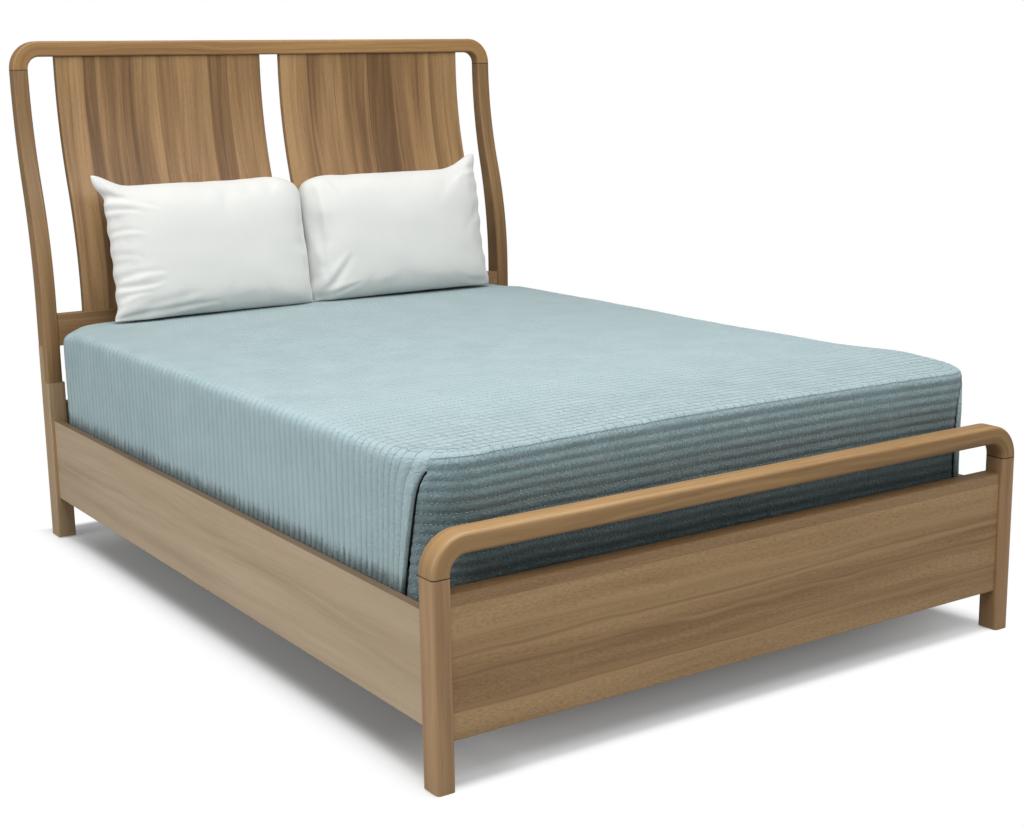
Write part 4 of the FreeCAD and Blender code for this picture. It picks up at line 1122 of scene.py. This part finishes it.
@dataclass(frozen=True)
class Block:
    """A mattress or a box spring: a fabric block with round edges and a belly between them."""

    form: Form
    belly: float = 0.004
    least_radius: float = 0.004
    longest_edge: float = 0.06
    arc_steps: int = 6
    belly_steps: int = 12
    inner_rings: tuple[float, ...] = (0.12, 0.3, 0.5, 0.7, 0.88, 1.0)
    weld: float = 0.0004

    def ring(self, inset: float, z: float, count: int = 12) -> list[Vector]:
        """One closed line round the plan, inset from its outline."""
        form = self.form
        radius = max(form.corner - inset, self.least_radius)
        spots = []
        for side, end, start in ((1, -1, -90), (1, 1, 0), (-1, 1, 90), (-1, -1, 180)):
            x = side * (form.half - inset - radius)
            y = (form.front + inset + radius) if end < 0 else (form.rear - inset - radius)
            for step in range(count + 1):
                angle = math.radians(start + 90 * step / count)
                spots.append(Vector((x + radius * math.cos(angle), y + radius * math.sin(angle), z)))
        dense = []
        for first, second in zip(spots, spots[1:] + spots[:1]):
            parts = max(1, round((second - first).length / self.longest_edge))
            dense += [first.lerp(second, n / parts) for n in range(parts)]
        return dense

    def levels(self) -> list[tuple[float, float]]:
        """How far each ring of the sides lies in from the outline, and its height."""
        form = self.form
        height = form.edge_top - form.low
        turns = [math.radians(90 * step / self.arc_steps) for step in range(self.arc_steps + 1)]
        levels = [(form.rounding * (1 - math.sin(turn)), form.low + form.rounding * (1 - math.cos(turn)))
                  for turn in turns]
        for step in range(1, self.belly_steps):
            share = step / self.belly_steps
            levels.append((-self.belly * math.sin(math.pi * share) + self.belly,
                           form.low + form.rounding + (height - 2 * form.rounding) * share))
        levels += [(form.rounding * (1 - math.cos(turn)),
                    form.edge_top - form.rounding * (1 - math.sin(turn))) for turn in turns]
        return levels

    def build(self, node: str, slot: str, material: bpy.types.Material) -> bpy.types.Object:
        """Builds the block over its node as one closed padded piece.

        Args:
            node: The node that it replaces and the body that carries it.
            slot: The record's material slot; not used.
            material: Its finish.

        Returns:
            The piece.
        """
        form = self.form
        rings = [self.ring(inset, z) for inset, z in self.levels()]
        size = len(rings[0])
        rings = [ring for ring in rings if len(ring) == size]
        points = [p for ring in rings for p in ring]
        faces = []

        def band(lower: Sequence[int], upper: Sequence[int]) -> None:
            """Adds the faces between two rings."""
            for n in range(size):
                m = (n + 1) % size
                faces.append([lower[n], lower[m], upper[m], upper[n]])

        rows = [list(range(level * size, (level + 1) * size)) for level in range(len(rings))]
        for lower, upper in zip(rows, rows[1:]):
            band(lower, upper)
        for ring, last, up in ((rings[0], rows[0], False), (rings[-1], rows[-1], True)):
            for share in self.inner_rings:
                fresh = list(range(len(points), len(points) + size))
                for p in ring:
                    spine = Vector((0.0, min(max(p.y, form.front + form.half), form.rear - form.half), p.z))
                    q = p.lerp(spine, share)
                    if up:
                        q.z = form.edge_top + form.crown * (1 - (q.x / (form.half - form.rounding)) ** 2)
                    points.append(q)
                band(last, fresh)
                last = fresh
        piece = mesh_piece(f"{node}_block", points, faces, material, node, node)
        work = bmesh.new()
        work.from_mesh(piece.data)
        bmesh.ops.remove_doubles(work, verts=work.verts, dist=self.weld)
        work.to_mesh(piece.data)
        work.free()
        face_outward(piece.data)
        return piece


@dataclass(frozen=True)
class Fold:
    """A fold pressed into a pillow's face, in metres out from its middle and up from its middle."""

    start: tuple[float, float]
    end: tuple[float, float]
    depth: float = 0.005
    width: float = 0.009

    def lift(self, out: np.ndarray, up: np.ndarray) -> np.ndarray:
        """How far the fold lifts each point: a valley with a ridge beside it, fading at its ends."""
        way = np.array(self.end) - np.array(self.start)
        size = float(np.hypot(*way))
        way = way / size
        x, z = out - self.start[0], up - self.start[1]
        along = (x * way[0] + z * way[1]) / size
        bow = 0.007 * math.sin(97 * self.start[1] + 31 * self.start[0]) * 4 * along * (1 - along)
        beside = (x * -way[1] + z * way[0] + bow) / (self.width * np.clip(1.15 - 0.55 * along, 0.5, 1.2))
        fade = np.clip(1 - along, 0, 1) ** 0.6 * np.clip(along * 6 + 1, 0, 1)
        fade = np.where(along > 1, 0.0, fade)
        return self.depth * fade * (0.75 * np.exp(-(beside - 1.7) ** 2) - np.exp(-beside ** 2))


@dataclass(frozen=True)
class Pillow:
    """A standing bed pillow in a plain case: plump, squared against its neighbour, with its tips out."""

    side: float
    node: str
    folds: tuple[Fold, ...]
    half_width: float = 0.3275
    half_height: float = 0.212
    thick: float = 0.150
    tilt: float = 10.5
    draw_in: float = 0.026
    tip_rise: float = 0.030
    tip_width: float = 0.15
    slack: float = -0.03
    cap: float = 0.006
    frames: int = 20
    contact: float = 0.012
    beyond_cap: float = 0.08
    wave_size: float = 0.07
    wave_middle: float = 0.0012
    wave_rim: float = 0.0025
    columns: int = 72
    rows: int = 48
    seed: float = 0.0

    def section(self, outer: float, v: float) -> float:
        """Half the pillow's thickness at a place, 1 at most."""
        across = (1 - abs(outer) ** (2.7 if outer > 0 else 7.0)) ** 0.52
        upward = (1 - abs(v) ** (2.7 if v > 0 else 6.0)) ** (0.55 if v > 0 else 0.45)
        return across * upward

    def rim(self, outer: float, v: float) -> tuple[float, float]:
        """Where a place lies in the pillow's plane, out from its middle and up from its middle."""
        tip = math.exp(-((1 - v) / 0.20) ** 2 - ((1 - outer) / self.tip_width) ** 2)
        low_tip = math.exp(-((1 + v) / 0.16) ** 2 - ((1 - outer) / 0.10) ** 2)
        edge = max(outer, 0.0) ** 2
        x = outer * self.half_width - edge * self.draw_in * (1 - tip - 0.3 * low_tip)
        z = v * self.half_height - max(v, 0.0) ** 2 * (0.019 - self.tip_rise * tip)
        turned = max(0.0, v - outer - 1.62) / 0.38
        x += 0.026 * turned ** 1.5
        z -= 0.020 * turned ** 1.5
        x += 0.0022 * max(outer, 0.0) ** 6 * math.sin(v * 21.0 + self.seed)
        return x, z

    def panels(self) -> tuple[list[Vector], list[list[int]]]:
        """Two panels joined at their edges, filled to the pillow's form."""
        points: list[Vector] = []
        grid = {}
        for layer in (-1, 1):
            for i in range(self.columns + 1):
                for k in range(self.rows + 1):
                    on_rim = i in (0, self.columns) or k in (0, self.rows)
                    if on_rim and layer > 0:
                        grid[layer, i, k] = grid[-1, i, k]
                        continue
                    s, t = 2 * i / self.columns - 1, 2 * k / self.rows - 1
                    outer, v = s * (1.32 - 0.32 * s * s), t * (1.32 - 0.32 * t * t)
                    x, z = self.rim(outer, v)
                    depth = 0.0 if on_rim else 0.5 * self.thick * self.section(outer, v)
                    grid[layer, i, k] = len(points)
                    points.append(Vector((x * self.side, layer * depth, z)))
        faces = []
        for layer in (-1, 1):
            for i in range(self.columns):
                for k in range(self.rows):
                    ring = [grid[layer, i + di, k + dk] for di, dk in ((0, 0), (1, 0), (1, 1), (0, 1))]
                    faces.append(ring if layer * self.side < 0 else ring[::-1])
        return points, faces

    def swell(self, piece: bpy.types.Object) -> None:
        """Runs the cloth solver with pressure in a slightly slack case, and caps how far it moves."""
        start = [vertex.co.copy() for vertex in piece.data.vertices]
        cloth = piece.modifiers.new("cloth", "CLOTH")
        settings = {"quality": 6, "mass": 0.25, "tension_stiffness": 18, "compression_stiffness": 18,
                    "shear_stiffness": 8, "bending_stiffness": 0.3, "use_pressure": True,
                    "uniform_pressure_force": 4.0, "shrink_min": self.slack}
        for key, value in settings.items():
            setattr(cloth.settings, key, value)
        cloth.settings.effector_weights.gravity = 0
        cloth.point_cache.frame_start = 1
        cloth.point_cache.frame_end = self.frames
        for frame_number in range(1, self.frames + 1):
            bpy.context.scene.frame_set(frame_number)
        settle(piece)
        bpy.context.scene.frame_set(1)
        for vertex, origin in zip(piece.data.vertices, start):
            move = vertex.co - origin
            if move.length > self.cap:
                beyond = self.beyond_cap * (move.length - self.cap)
                vertex.co = origin + move.normalized() * (self.cap + beyond)
        before = np.array([p[:] for p in start])
        after = np.array([v.co[:] for v in piece.data.vertices])
        for axis in (0, 2):
            low, high = after[:, axis].min(), after[:, axis].max()
            goal_low, goal_high = before[:, axis].min(), before[:, axis].max()
            after[:, axis] = goal_low + (after[:, axis] - low) * (goal_high - goal_low) / (high - low)
        piece.data.vertices.foreach_set("co", after.astype(np.float32).ravel())

    def build(self, material: bpy.types.Material) -> bpy.types.Object:
        """Builds the pillow over its node, with its folds, leaning back and flat where it stands."""
        low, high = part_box(self.node)
        points, faces = self.panels()
        name = f"{self.node}_case"
        piece = mesh_piece(name, points, faces, material, self.node, self.node)
        self.swell(piece)
        smooth = piece.modifiers.new("fine", "SUBSURF")
        smooth.levels = 1
        settle(piece)
        mesh = piece.data
        face_outward(mesh)
        spots = np.array([v.co[:] for v in mesh.vertices])
        normals = np.array([v.normal[:] for v in mesh.vertices])
        waves = np.array([noise_at(Vector((p[0] * 0.6, p[1], p[2])), self.wave_size, self.seed)
                          for p in spots])
        rim = np.clip((np.abs(spots[:, 0]) - 0.16) / 0.14, 0, 1)
        lift = waves * (self.wave_middle + self.wave_rim * rim)
        front = normals[:, 1] < 0.1
        for fold in self.folds:
            lift += np.where(front, fold.lift(spots[:, 0] * self.side, spots[:, 2]), 0.0)
        spots += normals * lift[:, None]
        lean = math.radians(self.tilt)
        y = spots[:, 1] * math.cos(lean) + spots[:, 2] * math.sin(lean)
        z = spots[:, 2] * math.cos(lean) - spots[:, 1] * math.sin(lean)
        rest = z.min() + self.contact / 2
        pressed = rest + self.contact * np.exp((z - rest - self.contact) / self.contact)
        z = np.where(z < rest + self.contact, pressed, z)
        x = spots[:, 0] + (low.x + high.x) / 2
        y += (low.y + high.y) / 2
        z += low.z - z.min()
        mesh.vertices.foreach_set("co", np.stack([x, y, z], axis=1).astype(np.float32).ravel())
        mesh.update()
        return piece


LEFT_FOLDS = (
    Fold((0.335, 0.165), (0.150, 0.112), 0.0055, 0.011),
    Fold((0.310, 0.118), (0.205, 0.104), 0.0035, 0.008),
    Fold((0.300, 0.052), (0.205, 0.046), 0.0030, 0.008),
    Fold((0.296, -0.012), (0.222, -0.030), 0.0025, 0.009),
    Fold((0.294, -0.082), (0.160, -0.070), 0.0042, 0.010),
    Fold((0.292, -0.104), (0.166, -0.098), 0.0040, 0.008),
    Fold((0.292, -0.140), (0.215, -0.128), 0.0028, 0.008),
    Fold((0.215, -0.166), (0.060, -0.138), 0.0036, 0.014),
    Fold((0.290, -0.196), (0.000, -0.172), 0.0060, 0.009),
)
RIGHT_FOLDS = (
    Fold((-0.310, -0.196), (-0.205, -0.070), 0.0075, 0.015),
    Fold((-0.302, 0.130), (-0.292, -0.150), 0.0045, 0.012),
    Fold((-0.290, -0.196), (-0.180, -0.160), 0.0040, 0.010),
    Fold((0.300, 0.185), (0.205, 0.150), 0.0040, 0.010),
    Fold((0.300, -0.190), (0.200, -0.176), 0.0030, 0.010),
)


@dataclass(frozen=True)
class Bedding:
    """Everything soft on the bed."""

    corner: float = 0.110
    mattress_round: float = 0.034
    cover_lining: float = 0.0095
    crown: float = 0.012
    box_round: float = 0.022
    front_part: int = 5
    bold: Stitching = Stitching(0.0062, 0.0100, 0.0012)
    front: Stitching = Stitching()
    back: Stitching = Stitching(girth=0.0005)

    def blocks(self) -> bpy.types.Object:
        """Builds the box spring and the mattress, and gives the mattress."""
        box = Form.of_node("box_spring", 0.0, self.corner, self.box_round)
        Block(box).build("box_spring", "box_spring_cloth", TICKING.make())
        bed = Form.of_node("mattress", self.crown, self.corner, self.mattress_round)
        return Block(bed).build("mattress", "mattress_cloth", KNIT.make())

    def coverlet(self, mattress: bpy.types.Object) -> None:
        """Builds the coverlet with its stitches, draped over the mattress."""
        form = Form.of_node("coverlet", self.crown, self.corner + self.cover_lining,
                            self.mattress_round + self.cover_lining)
        cover = Coverlet(form, material=COVERLET.make())
        cloth = cover.build()
        tree = self.front.group()
        thread, pale = THREAD.make(), FINE_THREAD.make()
        nearer = len(cover.rows) // self.front_part
        pieces = [
            self.bold.lay("coverlet_foot_stitches", cover.foot_lines, tree, thread),
            self.front.lay("coverlet_front_stitches", cover.rows[:nearer], tree, pale),
            self.back.lay("coverlet_back_stitches", cover.rows[nearer:], tree, pale),
        ]
        drop = cover.foot_rows * cover.fine
        width = 2 * (cover.inner + drop)
        length = form.rear - cover.inner_front + drop
        width * length - 2 * drop * drop

    def build(self) -> None:
        """Builds the box spring, the mattress, the coverlet and the pillows."""
        self.coverlet(self.blocks())
        case = PERCALE.make()
        left = Pillow(-1.0, "pillow_left", LEFT_FOLDS, seed=2.0)
        right = Pillow(1.0, "pillow_right", RIGHT_FOLDS, draw_in=0.004, tip_rise=0.037,
                       tip_width=0.24, seed=7.0)
        for pillow in (left, right):
            pillow.build(case)


@dataclass(frozen=True)
class Studio:
    """The camera at the photograph's angle, soft lights and a white floor that keeps the shadow."""

    focal_pixels: float = 1632.08
    camera_x: float = -2.276
    camera_from_foot: float = 2.4779
    camera_z: float = 1.3628
    turn: float = 33.632
    tilt: float = -12.0665
    roll: float = -0.8885
    sky: Colour = (0.93, 0.97, 1.0, 1.0)
    sky_strength: float = 0.26
    above_power: float = 206.0
    left_power: float = 108.0
    floor_size: float = 30.0
    floor_pale: float = 0.88
    floor_glow: float = 0.04
    floor_dim: Colour = (0.38, 0.38, 0.38, 1.0)
    shadow_inside: float = -0.11
    shadow_depth: float = -0.36
    side_reach: float = 0.05

    def place(self, name: str, data: bpy.types.ID) -> bpy.types.Object:
        """Puts a camera, a lamp or a mesh into the scene."""
        thing = bpy.data.objects.new(name, data)
        bpy.context.scene.collection.objects.link(thing)
        return thing

    def camera(self) -> None:
        """Makes the camera and sets it as the scene's own."""
        data = bpy.data.cameras.new("camera")
        data.sensor_width = SENSOR_WIDTH
        data.lens = self.focal_pixels / PHOTO_WIDTH * SENSOR_WIDTH
        data.clip_end = 100.0
        camera = self.place("camera", data)
        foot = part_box("foot_post_left")[0].y
        camera.location = (self.camera_x, foot - self.camera_from_foot, self.camera_z)
        turns = ((-self.turn, "Z"), (90 + self.tilt, "X"), (self.roll, "Z"))
        first, second, third = (Matrix.Rotation(math.radians(angle), 4, axis) for angle, axis in turns)
        camera.rotation_euler = (first @ second @ third).to_euler()
        bpy.context.scene.camera = camera

    def lamp(self, name: str, spot: Place, aim: Place, size: float, power: float) -> None:
        """Adds one soft square lamp."""
        data = bpy.data.lights.new(name, "AREA")
        data.size = size
        data.energy = power
        lamp = self.place(name, data)
        lamp.location = spot
        lamp.rotation_euler = (Vector(aim) - Vector(spot)).to_track_quat("-Z", "Y").to_euler()

    def world(self) -> None:
        """Even light from all round, white where the camera sees it."""
        world = bpy.data.worlds.new("world")
        world.use_nodes = True
        tree = Tree(world.node_tree)
        light = tree.node("ShaderNodeBackground", {"Color": self.sky, "Strength": self.sky_strength})
        white = tree.node("ShaderNodeBackground", {"Color": (1.0, 1.0, 1.0, 1.0)})
        path = tree.add("ShaderNodeLightPath").outputs
        seen = tree.maths("MAXIMUM", path["Is Camera Ray"], path["Is Transmission Ray"])
        mix = tree.node("ShaderNodeMixShader", {0: seen, 1: light, 2: white})
        tree.feed(tree.add("ShaderNodeOutputWorld").inputs[0], mix)
        bpy.context.scene.world = world

    def floor(self) -> None:
        """A pale floor that keeps the shadow under the bed and fades into the white round it."""
        shade = Shade("floor")
        x, y, _ = shade.split(shade.spot("Object"))
        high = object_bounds()[1]
        out = abs(x) - (high[0] + self.side_reach)
        ahead = abs(y) - high[1]
        deep = shade.span(x, 0.35, 0.80) * 0.12 + 0.20
        front = shade.span(ahead, self.shadow_depth, -0.02) * deep + shade.span(ahead, -0.045, 0.0, 0.0, 0.8)
        far = shade.maths("MAXIMUM", shade.span(out, self.shadow_inside, 0.0), front)
        # Painted shadow: the floor is darker in a band just inside the left side rail.
        band = shade.span(x, -0.66, -0.56, 0.38, 0.0) * shade.span(x, -0.80, -0.73)
        shade.coat(Base_Color=shade.grey(band * -self.floor_pale + self.floor_pale), Roughness=0.9,
                   Specular_IOR_Level=0.0)
        glow = shade.node("ShaderNodeEmission", {"Strength": self.floor_glow})
        both = shade.node("ShaderNodeAddShader", {0: shade.surface.outputs[0], 1: glow})
        white = shade.node("ShaderNodeEmission", {"Strength": 1.0})
        dim = shade.node("ShaderNodeBsdfDiffuse", {"Color": self.floor_dim})
        seen = shade.node("ShaderNodeMixShader", {0: far, 1: both, 2: white})
        camera_ray = shade.add("ShaderNodeLightPath").outputs["Is Camera Ray"]
        last = shade.node("ShaderNodeMixShader", {0: camera_ray, 1: dim, 2: seen})
        shade.feed(shade.out.inputs["Surface"], last)
        half = self.floor_size / 2
        mesh = bpy.data.meshes.new("floor")
        corners = [(-half, -half, 0), (half, -half, 0), (half, half, 0), (-half, half, 0)]
        mesh.from_pydata(corners, [], [(0, 1, 2, 3)])
        mesh.materials.append(shade.material)
        self.place("floor", mesh)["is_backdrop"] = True

    def build(self) -> None:
        """Sets up the whole studio."""
        self.camera()
        self.world()
        self.floor()
        self.lamp("above", (-0.2, -1.6, 3.8), (0.0, -0.6, 0.0), 4.2, self.above_power)
        self.lamp("left", (-5.0, 0.4, 2.2), (0.0, 0.0, 0.5), 3.0, self.left_power)
        bpy.context.scene.view_settings.view_transform = "Standard"


def main() -> None:
    """Builds the studio, dresses the frame and makes the bedding."""
    logging.basicConfig(level=logging.INFO, format="%(name)s: %(message)s")
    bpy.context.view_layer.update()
    Studio().build()
    FrameDress().dress()
    Bedding().build()


if __name__ == "__main__":
    main()
